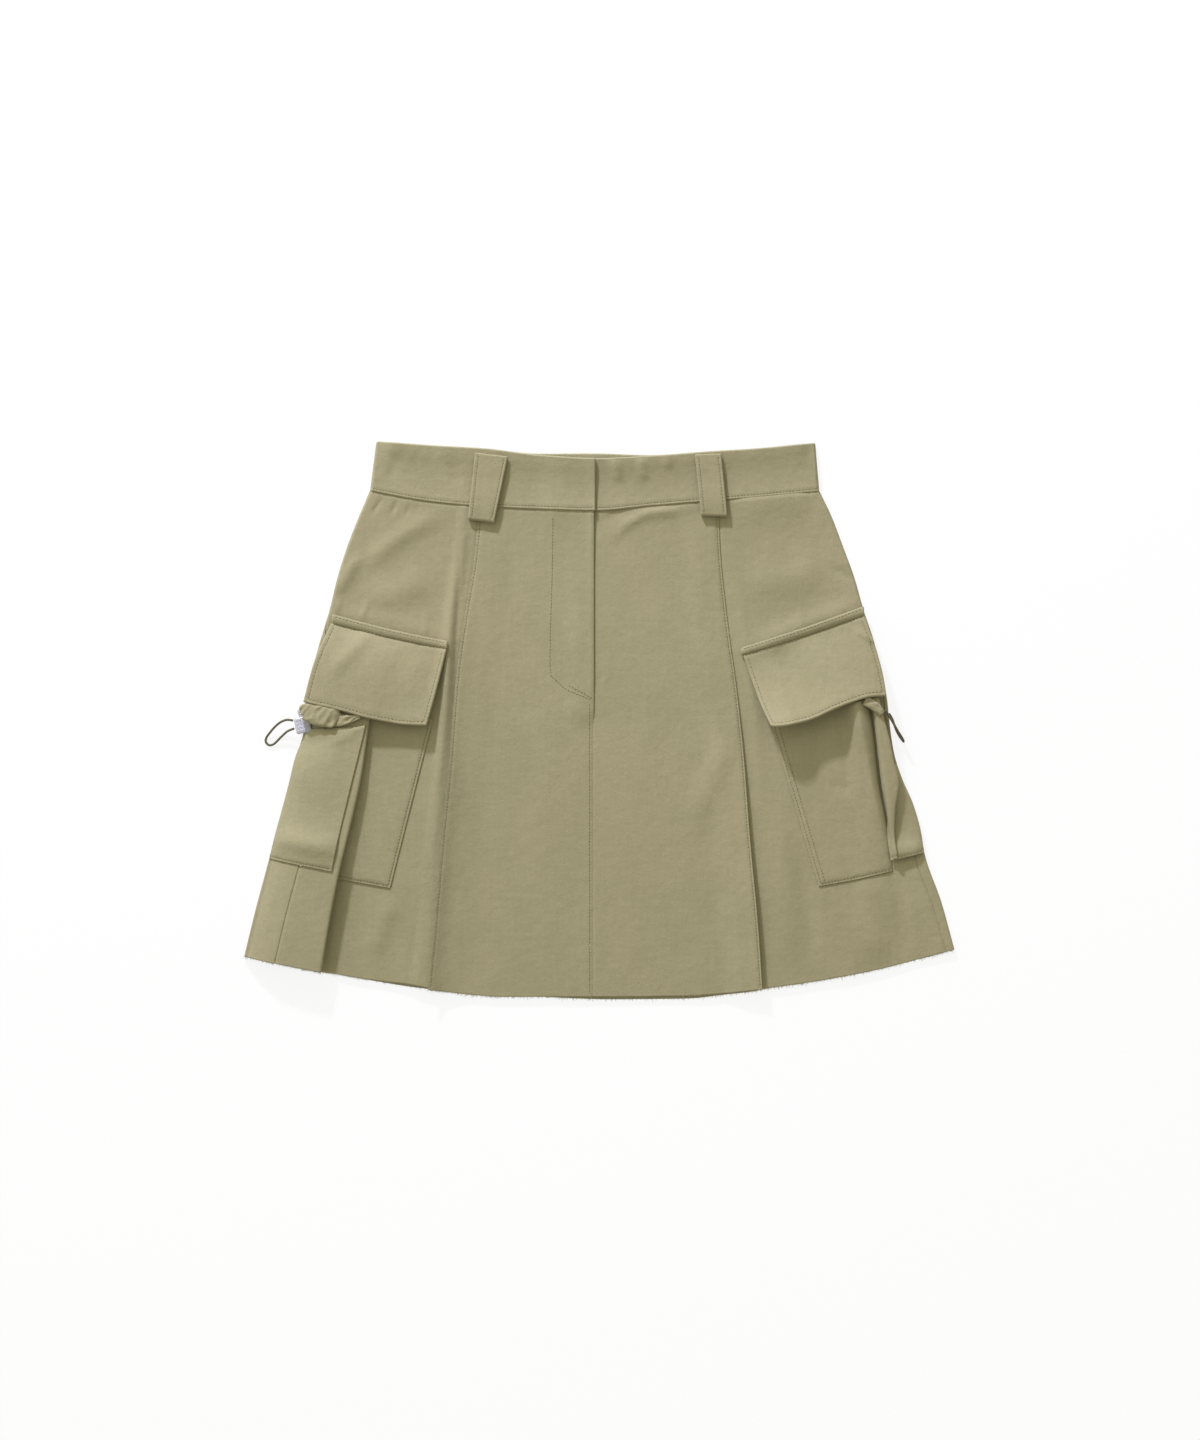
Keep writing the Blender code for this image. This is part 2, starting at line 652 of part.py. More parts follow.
def wall(name, rows, thickness, finish, collection):
    """Build a piece of cloth: a sheet through rows of points, thickened evenly to both sides."""
    mesh = bpy.data.meshes.new(name)
    width = len(rows[0])
    points = [Vector(point) * MM for row in rows for point in row]
    faces = []
    for i in range(len(rows) - 1):
        for j in range(width - 1):
            corner = i * width + j
            faces.append((corner, corner + width, corner + width + 1, corner + 1))
    mesh.from_pydata(points, [], faces)
    mesh.shade_smooth()
    piece = add_object(name, mesh, finish, collection)
    thicken = piece.modifiers.new("Wall", "SOLIDIFY")
    thicken.thickness = thickness * MM
    thicken.offset = 0.0
    thicken.use_even_offset = True
    return piece


def panel(name, section, downs, collection, finish=TWILL, thickness=CLOTH):
    """Build a skirt or pocket piece from its section at each level."""
    rows = [[(x, level_y(x, down), z) for x, z in section(down)] for down in downs]
    return wall(name, rows, thickness, finish, collection)


def slanted_panel(name, section, tops, bottom, count, collection):
    """Build a piece whose top edge slants from one level at its first column to another at its last."""
    columns = len(section(bottom))
    rows = []
    for share in spread(0.0, 1.0, count):
        row = []
        for j, top in enumerate(spread(*tops, columns)):
            down = mix(top, bottom, share)
            x, z = section(down)[j]
            row.append((x, level_y(x, down), z))
        rows.append(row)
    return wall(name, rows, CLOTH, TWILL, collection)


# The pieces

def build_panels(collection):
    """Build the back, the two centre panels and the two side panels."""
    downs = [SEAM_GAP, 12, 28, 52, 78, 98, 108, 120, 132, 145, 158, 170, 190, 218, 250, 275, 300, 325, 350, 373]
    centre_downs = [SEAM_GAP, 12, 28, 55, 90, 124, 137, 150, 168, 190, 225, 265, 305, 340, 373]
    panel("back", back_section, downs, collection)
    panel("front_side_left", front_side_left_section, downs, collection)
    panel("front_side_right", front_side_right_section, downs, collection)
    panel("front_centre_left", centre_section(-1), centre_downs, collection)
    panel("front_centre_right", centre_section(1), centre_downs, collection)


def band_point(x, z, share, top_column):
    """Place a point on the waistband, share being 0 at its seam and 1 at its top edge."""
    side = -1 if x < CENTRE_FRONT else 1
    half_seam = abs(side_x(side, 0) - CENTRE_FRONT)
    across = (x - CENTRE_FRONT) / half_seam
    half = mix(half_seam, BAND_HALF_TOP[0 if side < 0 else 1], share)
    y = mix(curve(WAIST, "across", "seam", across), curve(WAIST, "across", top_column, across), share)
    return CENTRE_FRONT + across * half, y, z


def band_fold(side, turns):
    """Find x and z round the waistband's side fold for a list of turns."""
    radius = (BAND_FRONT_LEVEL - BAND_BACK_LEVEL) / 2
    centre = side_x(side, 0) - side * (BAND_WALL / 2 + radius)
    return [(centre + side * radius * sin(turn), BAND_BACK_LEVEL + radius * (1 - cos(turn))) for turn in turns]


def build_waistband(collection):
    """Build the waistband: the back part, and two fronts that lap at the fly."""
    quarter = spread(0.0, pi / 2 - BAND_SEAM_TURN, 5)
    three_quarter = spread(pi / 2 + BAND_SEAM_TURN, pi, 5)
    left_back = band_fold(-1, quarter)
    right_back = band_fold(1, quarter)
    flat = [(x, BAND_BACK_LEVEL) for x in spread(left_back[0][0], right_back[0][0], 15)[1:-1]]
    back = list(reversed(left_back)) + flat + right_back

    lap_end = CENTRE_FRONT + 0.8
    left_front = band_fold(-1, three_quarter)
    left = left_front
    climb = lap_end - BAND_LAP - BAND_LAP_RAMP - 2.0
    for x in spread(left_front[-1][0], climb, 6)[1:]:
        left.append((x, BAND_FRONT_LEVEL))
    for x in spread(climb, lap_end, 7)[1:]:
        rise = ease((x - climb) / BAND_LAP_RAMP)
        left.append((x, BAND_FRONT_LEVEL + (BAND_WALL + SEAM_GAP) * rise))
    right_front = band_fold(1, three_quarter)
    right = [(x, BAND_FRONT_LEVEL) for x in spread(lap_end - BAND_LAP, right_front[-1][0], 10)[:-1]]
    right += list(reversed(right_front))

    for name, section, top_column in (
        ("waistband_back", back, "back_top"),
        ("waistband_front_left", left, "top"),
        ("waistband_front_right", right, "top"),
    ):
        rows = [
            [band_point(x, z, share, top_column) for x, z in section]
            for share in (1.0, 0.75, 0.5, 0.25, 0.008)
        ]
        wall(name, rows, BAND_WALL, TWILL, collection)


def build_belt_loop(name, corners, collection):
    """Build a belt loop: down over the waistband, folded under at its foot and caught in the seam."""
    profile = [(share, curve(LOOP_PROFILE, "share", "level", share)) for share in spread(0.0, 0.96, 7)]
    foot_top = LOOP_PROFILE[-1].level
    length = corners.top_left[1] - corners.bottom_left[1]
    for turn in spread(0.0, pi, 5)[1:]:
        share = LOOP_FOOT + LOOP_ROLL * sin(turn) / length
        profile.append((share, foot_top - LOOP_ROLL * (1 - cos(turn))))
    profile.append((LOOP_FOOT - LOOP_RETURN, foot_top - 2 * LOOP_ROLL))
    rows = []
    for share, level in profile:
        left = Vector(corners.top_left).lerp(Vector(corners.bottom_left), share)
        right = Vector(corners.top_right).lerp(Vector(corners.bottom_right), share)
        rows.append([(*left.lerp(right, across), level) for across in (0.0, 0.5, 1.0)])
    wall(name, rows, LOOP_WALL, TWILL_EDGE, collection)


def build_flap(side, strip_name, flap_name, strip, outer, inner, bottom, collection):
    """Build one pocket flap and the strip above it."""
    left_side, right_side = (outer, inner) if side < 0 else (inner, outer)
    on_panel = CLOTH / 2 + STRIP_CLEARANCE + FLAP_WALL / 2

    strip_rows = []
    for share in (0.0, 0.5, 1.0):
        row = []
        for across in spread(0.0, 1.0, 9):
            x = mix(strip[0].x, strip[1].x, across)
            top = mix(strip[0].top, strip[1].top, across)
            down = mix(top, mix(strip[0].bottom, strip[1].bottom, across) - SEAM_GAP, share)
            row.append((x, level_y(x, down), side_front(side, x, down) + on_panel))
        strip_rows.append(row)
    wall(strip_name, strip_rows, FLAP_WALL, TWILL_EDGE, collection)

    rows = []
    for share in spread(0.0, 1.0, 9):
        row = []
        for across in spread(0.0, 1.0, 12):
            x = mix(curve(left_side, "share", "x", share), curve(right_side, "share", "x", share), across)
            down = mix(curve(left_side, "share", "down", share), curve(right_side, "share", "down", share), across)
            down += curve(bottom, "share", "sag", across) * share
            hinge_x = mix(left_side[0].x, right_side[0].x, across)
            hinge_down = mix(left_side[0].down, right_side[0].down, across)
            hinge = side_front(side, hinge_x, hinge_down) + on_panel
            level = mix(hinge, curve(bottom, "share", "level", across), share**FLAP_SPRING)
            row.append((x, level_y(x, down), level))
        rows.append(row)
    wall(flap_name, rows, FLAP_WALL, TWILL, collection)


def build_flaps(collection):
    """Build both flaps with their strips."""
    build_flap(
        -1, "flap_strip_left", "flap_left", STRIP_LEFT,
        FLAP_LEFT_OUTER, FLAP_LEFT_INNER, FLAP_LEFT_BOTTOM, collection,
    )
    build_flap(
        1, "flap_strip_right", "flap_right", STRIP_RIGHT,
        FLAP_RIGHT_OUTER, FLAP_RIGHT_INNER, FLAP_RIGHT_BOTTOM, collection,
    )


def build_pockets(collection):
    """Build the halves of both cargo pockets, and the gusset that shows on the right one."""
    slanted_panel("pocket_outer_left", outer_left_section, OUTER_LEFT_TOPS, OUTER_BOTTOM, 9, collection)
    panel("pocket_front_left", front_left_section, spread(POCKET_TOP, FRONT_BOTTOM, 8), collection)
    panel("pocket_front_right", front_right_section, spread(POCKET_TOP + 1.0, FRONT_BOTTOM + 2.0, 11), collection)
    panel("pocket_gusset_right", gusset_section, spread(POCKET_TOP + 1.0, GUSSET_BOTTOM, 11), collection)
    panel("pocket_outer_right", outer_right_section, spread(OUTER_RIGHT_TOP, GUSSET_BOTTOM + 1.0, 6), collection)


def build_casing(name, rows, collection):
    """Build a gathered drawcord casing: an open flattened tube of cloth."""
    sides = 10
    wall_inset = CLOTH / 2
    mesh = bpy.data.meshes.new(name)
    points = []
    for i, row in enumerate(rows):
        before = rows[max(0, i - 1)]
        after = rows[min(len(rows) - 1, i + 1)]
        run = Vector((after.x - before.x, after.y - before.y, after.level - before.level)).normalized()
        across = run.cross(Vector((0, 0, 1))).normalized()
        up = across.cross(run)
        middle = Vector((row.x, row.y, row.level))
        for k in range(sides):
            turn = 2 * pi * k / sides
            reach = across * (row.width / 2 - wall_inset) * cos(turn)
            rise = up * (row.height / 2 - wall_inset) * sin(turn)
            points.append((middle + reach + rise) * MM)
    faces = []
    for i in range(len(rows) - 1):
        for k in range(sides):
            corner = i * sides + k
            beside = i * sides + (k + 1) % sides
            faces.append((corner, beside, beside + sides, corner + sides))
    mesh.from_pydata(points, [], faces)
    mesh.shade_smooth()
    piece = add_object(name, mesh, TWILL, collection)
    thicken = piece.modifiers.new("Wall", "SOLIDIFY")
    thicken.thickness = CLOTH * MM
    thicken.offset = 0.0


def build_lock(collection):
    """Build the cord lock: a rounded body and its spring plunger."""
    place = Matrix.Translation(Vector(LOCK_CENTRE) * MM) @ Matrix.Rotation(LOCK_TURN, 4, "Z")
    mesh = bpy.data.meshes.new("cord_lock_body")
    shape = bmesh.new()
    bmesh.ops.create_cube(shape, size=1.0, matrix=Matrix.Diagonal(Vector(LOCK_SIZE) * MM).to_4x4())
    shape.to_mesh(mesh)
    shape.free()
    body = add_object("cord_lock_body", mesh, CLEAR_PLASTIC, collection)
    body.matrix_world = place
    rounding = body.modifiers.new("Rounding", "BEVEL")
    rounding.width = LOCK_ROUND * MM
    rounding.segments = 3

    mesh = bpy.data.meshes.new("cord_lock_plunger")
    shape = bmesh.new()
    along_y = Matrix.Rotation(radians(90), 4, "X")
    bmesh.ops.create_cone(
        shape, cap_ends=True, segments=20, radius1=PLUNGER_RADIUS * MM, radius2=PLUNGER_RADIUS * MM,
        depth=PLUNGER_LENGTH * MM, matrix=along_y,
    )
    shape.to_mesh(mesh)
    shape.free()
    plunger = add_object("cord_lock_plunger", mesh, CLEAR_PLASTIC, collection)
    reach = LOCK_SIZE[1] / 2 + SEAM_GAP + PLUNGER_LENGTH / 2
    plunger.matrix_world = place @ Matrix.Translation((0, reach * MM, 0))
    edge = plunger.modifiers.new("Edge", "BEVEL")
    edge.width = PLUNGER_ROUND * MM
    edge.segments = 2
    edge.limit_method = "ANGLE"


def smooth_route(points, per_span):
    """Run a smooth curve through a cord's route points."""
    route = [Vector(point) for point in points]
    ends = [route[0] * 2 - route[1]] + route + [route[-1] * 2 - route[-2]]
    out = []
    for i in range(len(route) - 1):
        before, start, end, after = ends[i:i + 4]
        for step in range(per_span):
            t = step / per_span
            out.append(
                0.5 * (
                    2 * start
                    + (end - before) * t
                    + (2 * before - 5 * start + 4 * end - after) * t**2
                    + (3 * start - before - 3 * end + after) * t**3
                )
            )
    out.append(route[-1])
    return out


def build_cord(name, points, collection):
    """Build an elastic cord loop along its route."""
    line = bpy.data.curves.new(name, "CURVE")
    line.dimensions = "3D"
    line.bevel_depth = CORD_RADIUS * MM
    line.bevel_resolution = 2
    line.use_fill_caps = True
    route = smooth_route(points, 2)
    spline = line.splines.new("POLY")
    spline.points.add(len(route) - 1)
    for slot, point in zip(spline.points, route):
        slot.co = (*(point * MM), 1.0)
    line.materials.append(make_material(name, CORD))
    collection.objects.link(bpy.data.objects.new(name, line))


def build_skirt():
    """Clear the scene and build every piece of the skirt."""
    for thing in list(bpy.data.objects):
        bpy.data.objects.remove(thing, do_unlink=True)
    collection = bpy.data.collections.new("cargo_utility_skirt")
    bpy.context.scene.collection.children.link(collection)
    build_panels(collection)
    build_waistband(collection)
    build_belt_loop("belt_loop_left", LOOP_LEFT, collection)
    build_belt_loop("belt_loop_right", LOOP_RIGHT, collection)
    build_pockets(collection)
    build_flaps(collection)
    build_casing("casing_left", CASING_LEFT, collection)
    build_casing("casing_right", CASING_RIGHT, collection)
    build_lock(collection)
    build_cord("cord_loop_left", CORD_LEFT, collection)
    build_cord("cord_loop_right", CORD_RIGHT, collection)


build_skirt()
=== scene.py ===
"""Cargo utility skirt in washed khaki twill, laid flat: its folds, stitching, frayed hem and finishes.

Sizes are in millimetres until a mesh is made. x runs across the laid skirt, y towards the waist and z up from
the surface that it lies on. A level, called down, counts from the waistband's seam to the hem.
"""

import logging
import math
from collections.abc import Callable
from dataclasses import dataclass
from enum import Enum

import bpy
import numpy as np
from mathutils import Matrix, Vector
from mathutils.bvhtree import BVHTree


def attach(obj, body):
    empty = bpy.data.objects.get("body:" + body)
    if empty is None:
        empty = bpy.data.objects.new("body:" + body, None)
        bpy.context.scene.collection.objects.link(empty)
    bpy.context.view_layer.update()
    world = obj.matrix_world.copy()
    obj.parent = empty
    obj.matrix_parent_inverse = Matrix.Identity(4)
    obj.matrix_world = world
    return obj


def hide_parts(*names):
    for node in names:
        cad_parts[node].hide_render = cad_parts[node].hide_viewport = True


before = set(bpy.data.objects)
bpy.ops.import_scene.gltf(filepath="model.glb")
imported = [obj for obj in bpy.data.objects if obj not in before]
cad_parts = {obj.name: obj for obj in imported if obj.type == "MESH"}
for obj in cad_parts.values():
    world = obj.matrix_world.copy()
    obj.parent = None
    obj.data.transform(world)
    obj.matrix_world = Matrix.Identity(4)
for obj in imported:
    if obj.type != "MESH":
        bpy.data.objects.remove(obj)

log = logging.getLogger("cargo_utility_skirt")
Section = Callable[[float], np.ndarray]
Faces = tuple[np.ndarray, np.ndarray]
Route = tuple[tuple[float, float, float], ...]

MM = 0.001

# Cloth and levels
SKIRT_LENGTH = 373.0
CENTRE_FRONT = -4.4
CLOTH = 1.2
BAND_WALL = 2.0
FLAP_WALL = 2.0
LOOP_WALL = 1.6
SEAM_GAP = 0.3
SEAM_TRIM = 0.4
STRIP_CLEARANCE = 0.7
STRIP_CROWN = 0.9
STRIP_LENGTH = 88.0
STRIP_ROWS = (0.0, 0.08, 0.18, 0.32, 0.5, 0.68, 0.82, 0.92, 1.0)
FLAP_WIDTH = 92.0
FLAP_DEPTH = 62.0
LAYER = CLOTH + SEAM_GAP
BACK_LEVEL = CLOTH / 2
FRONT_LEVEL = BACK_LEVEL + LAYER
BAND_BACK_LEVEL = BAND_WALL / 2
BAND_FRONT_LEVEL = 4.1
SIDE_FOLD_RADIUS = 1.3
BAND_LIFT_REACH = 25.0
UNDERLAY = 12.0
LAP_ZONE = 15.0
BAND_SEAM_TURN = 0.3
FLY_LENGTH = 144.0
FLY_LAP = 8.0
BAND_LAP = 22.0
BAND_LAP_END = -3.6
BAND_END_SPRING = 0.7
BAND_SPRING_WIDTH = 9.0
LAP_ROOM = 2.0
FLY_SPRING = 0.5
FLY_SPRING_WIDTH = 6.0
FLY_SPRING_END = 16.0
FLY_HELD = 6.0
PANEL_HELD = 18.0
BAND_HALF_TOP = (167.3, 170.7)
PLEAT_ROLL = 1.3
PLEAT_STEP = 4.0
TUCK_ROLL = 1.0
SETTLED_GAP = 0.3
SIDE_SETTLE = 16.0
PRESSED_BY = 0.55
LAP_RAMP = 18.0
BAND_LAP_RAMP = 24.0
ROLL_PLACE = 12.0
ROLL_HALF_WIDTH = 4.5
LIFT_FADE = (28.0, 60.0)
LIFT_CURL = (3.0, 2.6)
CREST_FADE = 34.0
CREST_CURL = 1.6
PLEAT_CURL = 4.2
BAND_FOLD_REACH = 12.0
BAND_FOLD_HELD = 1.5
FLY_RAMP = 16.0
FLY_FADE = 20.0
FLY_RUN_OUT = 14.0
POCKET_WRAP = 0.82
POCKET_START = 8.0
FLAP_SPRING = 3.4
FLAP_LAG = 1.8
POCKET_TOP = 166.0
SECOND_ROW = 5.2
OUTER_LEFT_TOPS = (196.0, 178.0)
OUTER_BOTTOM = 294.5
FRONT_BOTTOM = 300.0
GUSSET_BOTTOM = 293.0
OUTER_RIGHT_TOP = 222.0
POCKET_BULGE = 24.0
POCKET_FALL = 1.6
CASING_SQUARE = 0.6
CASING_TURNS = 36
CASING_STEP = 0.7
CASING_SECTIONS = 24
CASING_FACET = 6.5
CASING_SLANT = 0.35
CASING_CRINKLE = 2.2
FINE_SHARE = 0.35
CASING_SPREAD = 0.3
LOOP_ROLL = 1.3
LOOP_FLAT = 0.96
LOOP_FOOT = 0.965
LOOP_RETURN = 0.05
CORD_RADIUS = 0.9
CORD_SPAN = 3
LOCK_CENTRE = (-227.6, -3.8, 7.4)
LOCK_SIZE = (12.0, 12.6, 5.0)
LOCK_TURN = math.radians(12.0)
LOCK_ROUND = 1.4
FLOOR_DROP = 0.2

# Light and camera, in metres
CAMERA_HEIGHT = 2.618
CAMERA_X = 0.0005
CAMERA_LENS = 85.0
CAMERA_SENSOR = 36.0
KEY_HEADING = (-0.347, 0.938)
KEY_RISE = math.radians(24.0)
KEY_POWER = (2.70, 2.75, 3.40)
KEY_DISTANCE = 2.4
KEY_WIDTH = 0.17
WINDOW_HEADING = (-0.6, 0.8)
WINDOW_RISE = math.radians(38.0)
WINDOW_SOFTNESS = math.radians(80.0)
WINDOW_POWER = (1.0, 1.0, 0.92)
FILL_LIGHT = (0.455, 0.45, 0.38)


# Tables and soft steps

def ease(share: np.ndarray | float) -> np.ndarray | float:
    """Go softly from 0 to 1."""
    share = np.clip(share, 0.0, 1.0)
    return share * share * (3 - 2 * share)


def mix(start: np.ndarray | float, end: np.ndarray | float, share: np.ndarray | float) -> np.ndarray | float:
    """Go from start to end by a share."""
    return start + (end - start) * share


def bump(distance: np.ndarray | float, width: float) -> np.ndarray | float:
    """Rise softly to 1 at no distance, over a width."""
    return np.exp(-((distance / width) ** 2))


@dataclass(frozen=True)
class Table:
    """Sizes in rows, read along a smooth curve that never overshoots. The first column is the key."""

    columns: tuple[str, ...]
    rows: tuple[tuple[float, ...], ...]

    def at(self, column: str, key: np.ndarray | float) -> np.ndarray | float:
        """Read one column.

        Args:
            column: the column's name.
            key: one or more places on the first column.

        Returns:
            The column's values there.
        """
        data = np.array(self.rows, float)
        keys, values = data[:, 0], data[:, self.columns.index(column)]
        slopes = np.diff(values) / np.diff(keys)
        before, after = slopes[:-1], slopes[1:]
        agree = before * after > 0
        inner = np.where(agree, 2 * before * after / np.where(agree, before + after, 1.0), 0.0)
        bends = np.concatenate([slopes[:1], inner, slopes[-1:]])
        place = np.clip(key, keys[0], keys[-1])
        i = np.clip(np.searchsorted(keys, place, side="right") - 1, 0, len(keys) - 2)
        span = keys[i + 1] - keys[i]
        t = (place - keys[i]) / span
        return (
            (2 * t**3 - 3 * t**2 + 1) * values[i]
            + (t**3 - 2 * t**2 + t) * span * bends[i]
            + (3 * t**2 - 2 * t**3) * values[i + 1]
            + (t**3 - t**2) * span * bends[i + 1]
        )


WAIST = Table(
    ("across", "seam", "top", "back_top"),
    (
        (-1.00, 176.3, 213.6, 213.6),
        (-0.75, 168.4, 210.4, 210.4),
        (-0.50, 164.1, 207.9, 207.9),
        (-0.25, 162.2, 202.9, 204.3),
        (0.00, 160.9, 200.4, 204.5),
        (0.25, 164.6, 202.2, 203.2),
        (0.50, 168.2, 205.4, 205.4),
        (0.75, 171.7, 208.2, 208.2),
        (1.00, 175.9, 212.5, 212.5),
    ),
)
BAND_LEAN = Table(
    ("share", "lift"),
    ((0.0, 0.2), (0.25, 0.0), (0.45, 0.2), (0.7, 1.3), (0.85, 2.4), (1.0, 3.2)),
)
HEM = Table(
    ("across", "hem"),
    (
        (-1.00, -181.3), (-0.75, -194.4), (-0.50, -205.8), (-0.25, -212.5), (0.00, -212.5),
        (0.25, -211.9), (0.50, -205.2), (0.75, -193.7), (1.00, -176.3),
    ),
)
OUTLINE = Table(
    ("down", "left", "right"),
    (
        (0, 172.2, 173.8), (20, 180.5, 183.0), (45, 189.8, 192.0), (70, 197.3, 200.6),
        (96, 203.4, 207.6), (122, 210.8, 215.6), (150, 218.0, 222.0), (168, 221.5, 225.6),
        (195, 223.5, 228.4), (215, 229.9, 231.6), (235, 234.6, 237.8), (255, 239.7, 246.0),
        (276, 245.1, 251.6), (296, 249.9, 254.9), (335, 259.9, 267.7), (373, 268.8, 277.6),
    ),
)
HEM_DROP_FROM = 300.0
HEM_DROPS = {
    "back": Table(
        ("x", "drop"),
        (
            (-262.0, 0.2), (-248.0, 0.6), (-238.0, 0.8), (-216.0, 1.0), (-208.0, 0.4),
            (-196.0, 0.0), (-50.0, 0.0), (-20.0, 1.4), (10.0, 2.2), (70.0, 2.2), (96.0, 1.2),
            (118.0, 1.4), (136.0, 0.0), (240.0, 0.0), (254.0, 0.4), (262.0, 0.0),
        ),
    ),
    "front_side_left": Table(
        ("x", "drop"),
        ((-190.0, 0.0), (-166.0, -1.0), (-146.0, -1.9), (-128.0, -1.0), (-118.0, 0.0)),
    ),
}
PRINCESS = Table(
    (
        "down", "left", "right", "lift_left", "lift_right",
        "ramp_left", "ramp_right", "roll_left", "roll_right",
    ),
    (
        (0, -92.0, 91.0, 0.2, 0.0, 2.5, 3.0, 0.4, 0.0),
        (38, -95.6, 92.6, 0.6, 0.0, 2.5, 3.0, 2.2, 0.2),
        (80, -102.4, 96.7, 1.2, 0.0, 2.5, 3.0, 3.2, 0.5),
        (105, -106.2, 99.8, 2.6, 0.0, 2.5, 3.0, 3.6, 0.7),
        (136, -109.9, 104.2, 3.4, 0.1, 2.5, 3.5, 3.4, 0.9),
        (170, -112.6, 108.1, 4.2, 0.8, 2.5, 6.0, 2.9, 0.8),
        (198, -114.7, 110.8, 4.8, 1.6, 2.5, 9.0, 2.4, 0.6),
        (256, -120.4, 115.1, 5.6, 3.6, 2.5, 13.0, 1.5, 0.0),
        (328, -126.6, 121.7, 6.6, 4.8, 2.5, 13.0, 0.8, 0.0),
        (373, -130.8, 124.7, 7.2, 4.8, 2.5, 13.0, 0.7, 0.0),
    ),
)
ROLL_LEFT = Table(
    ("down", "place", "width", "climb"),
    (
        (0, 12.0, 4.5, 1.0),
        (79, 11.0, 4.5, 0.8),
        (103, 9.8, 4.5, 0.5),
        (122, 8.4, 4.0, 0.3),
        (150, 7.4, 3.8, 0.1),
        (181, 7.4, 3.8, 0.1),
        (225, 7.6, 3.6, 0.3),
        (280, 8.6, 3.6, 0.35),
        (373, 9.0, 3.6, 0.4),
    ),
)
SIDE_SEAM = Table(
    ("down", "left", "right"),
    (
        (0, 0.0, 0.0), (100, 0.0, 0.0), (122, 5.0, 1.0), (170, 15.0, 3.0), (245, 21.0, 6.5),
        (296, 24.4, 7.8), (373, 24.5, 6.5),
    ),
)
PLEAT = Table(
    ("down", "edge", "tuck", "height", "opened"),
    (
        (0, -150.0, 14.0, 3.9, 0.0),
        (60, -160.0, 14.0, 2.6, 0.0),
        (105, -170.0, 14.0, 2.5, 0.0),
        (140, -173.0, 14.0, 7.0, 0.0),
        (160, -175.0, 14.0, 9.0, 0.65),
        (175, -176.9, 14.5, 10.0, 1.0),
        (215, -182.4, 18.0, 11.8, 1.0),
        (246, -188.6, 20.0, 12.6, 1.0),
        (293, -199.4, 24.0, 14.6, 1.0),
        (340, -208.3, 27.0, 15.2, 1.0),
        (373, -213.6, 28.0, 14.6, 1.0),
    ),
)
POCKET_LEFT = Table(
    ("down", "outer_edge", "front_edge"),
    (
        (160, -176.6, -126.8), (178, -179.4, -131.2), (234, -192.2, -145.0), (282, -202.8, -156.8),
        (301, -206.0, -161.4),
    ),
)
POCKET_RIGHT = Table(
    ("down", "front_edge", "crease", "gusset_edge", "bulge", "crease_level", "gusset", "fall"),
    (
        (166, 129.8, 206.2, 214.0, 15.4, 7.0, 12.8, 9.0),
        (180, 133.8, 208.6, 217.4, 15.0, 7.0, 12.8, 9.0),
        (204, 140.7, 211.5, 223.2, 13.0, 6.4, 12.8, 8.0),
        (219, 145.0, 213.1, 226.0, 11.6, 6.0, 12.8, 7.0),
        (236, 149.9, 215.2, 229.8, 10.6, 5.6, 12.4, 6.0),
        (255, 155.4, 219.0, 227.2, 9.0, 5.4, 11.2, 5.0),
        (271, 160.0, 221.6, 226.6, 7.0, 5.0, 9.4, 4.6),
        (296, 167.2, 224.6, 229.4, 4.5, 3.9, 7.2, 4.0),
        (304, 169.5, 225.6, 230.2, 4.1, 3.7, 6.8, 4.0),
    ),
)
OUTER_RIGHT_LIFT = Table(
    ("down", "lift"),
    ((215, 7.2), (235, 7.0), (248, 5.4), (256, 3.4), (263, 2.0), (272, 1.8), (282, 2.0), (300, 1.6)),
)
GUSSET_ARCH = Table(
    ("share", "rise"),
    ((0.0, 0.0), (0.1, 0.62), (0.22, 0.93), (0.4, 1.0), (0.75, 1.0), (0.92, 0.97), (1.0, 0.88)),
)
FLAP_SIDE = ("share", "x", "down")
FLAP_BOTTOM = ("share", "level", "sag", "lag")
FLAP_LEFT_OUTER = Table(FLAP_SIDE, ((0.0, -205.6, 106.0), (0.5, -218.0, 138.0), (1.0, -226.0, 169.1)))
FLAP_LEFT_INNER = Table(FLAP_SIDE, ((0.0, -117.6, 111.6), (0.5, -125.0, 142.0), (1.0, -132.9, 171.4)))
FLAP_LEFT_BOTTOM = Table(
    FLAP_BOTTOM,
    (
        (0.0, 15.2, 0.0, 0.0),
        (0.15, 15.8, 0.2, 0.0),
        (0.3, 15.6, 0.4, 0.0),
        (0.5, 14.6, 1.8, 0.1),
        (0.75, 13.0, 2.3, 0.4),
        (1.0, 13.0, 0.0, 1.0),
    ),
)
FLAP_RIGHT_INNER = Table(
    FLAP_SIDE,
    ((0.0, 111.1, 119.4), (0.35, 118.0, 140.4), (0.75, 125.4, 161.5), (1.0, 131.4, 175.1)),
)
FLAP_RIGHT_OUTER = Table(
    FLAP_SIDE,
    ((0.0, 203.4, 101.6), (0.4, 210.2, 123.5), (0.75, 216.6, 149.0), (1.0, 219.2, 165.9)),
)
FLAP_RIGHT_BOTTOM = Table(
    FLAP_BOTTOM,
    (
        (0.0, 23.0, 0.0, 1.0),
        (0.06, 24.6, 1.3, 1.0),
        (0.17, 23.6, 2.3, 1.0),
        (0.28, 19.6, 2.4, 1.0),
        (0.39, 18.9, 1.6, 0.8),
        (0.52, 20.4, -0.8, 0.7),
        (0.65, 19.5, -2.3, 0.7),
        (0.82, 17.5, -3.0, 0.7),
        (1.0, 14.6, 0.0, 0.7),
    ),
)
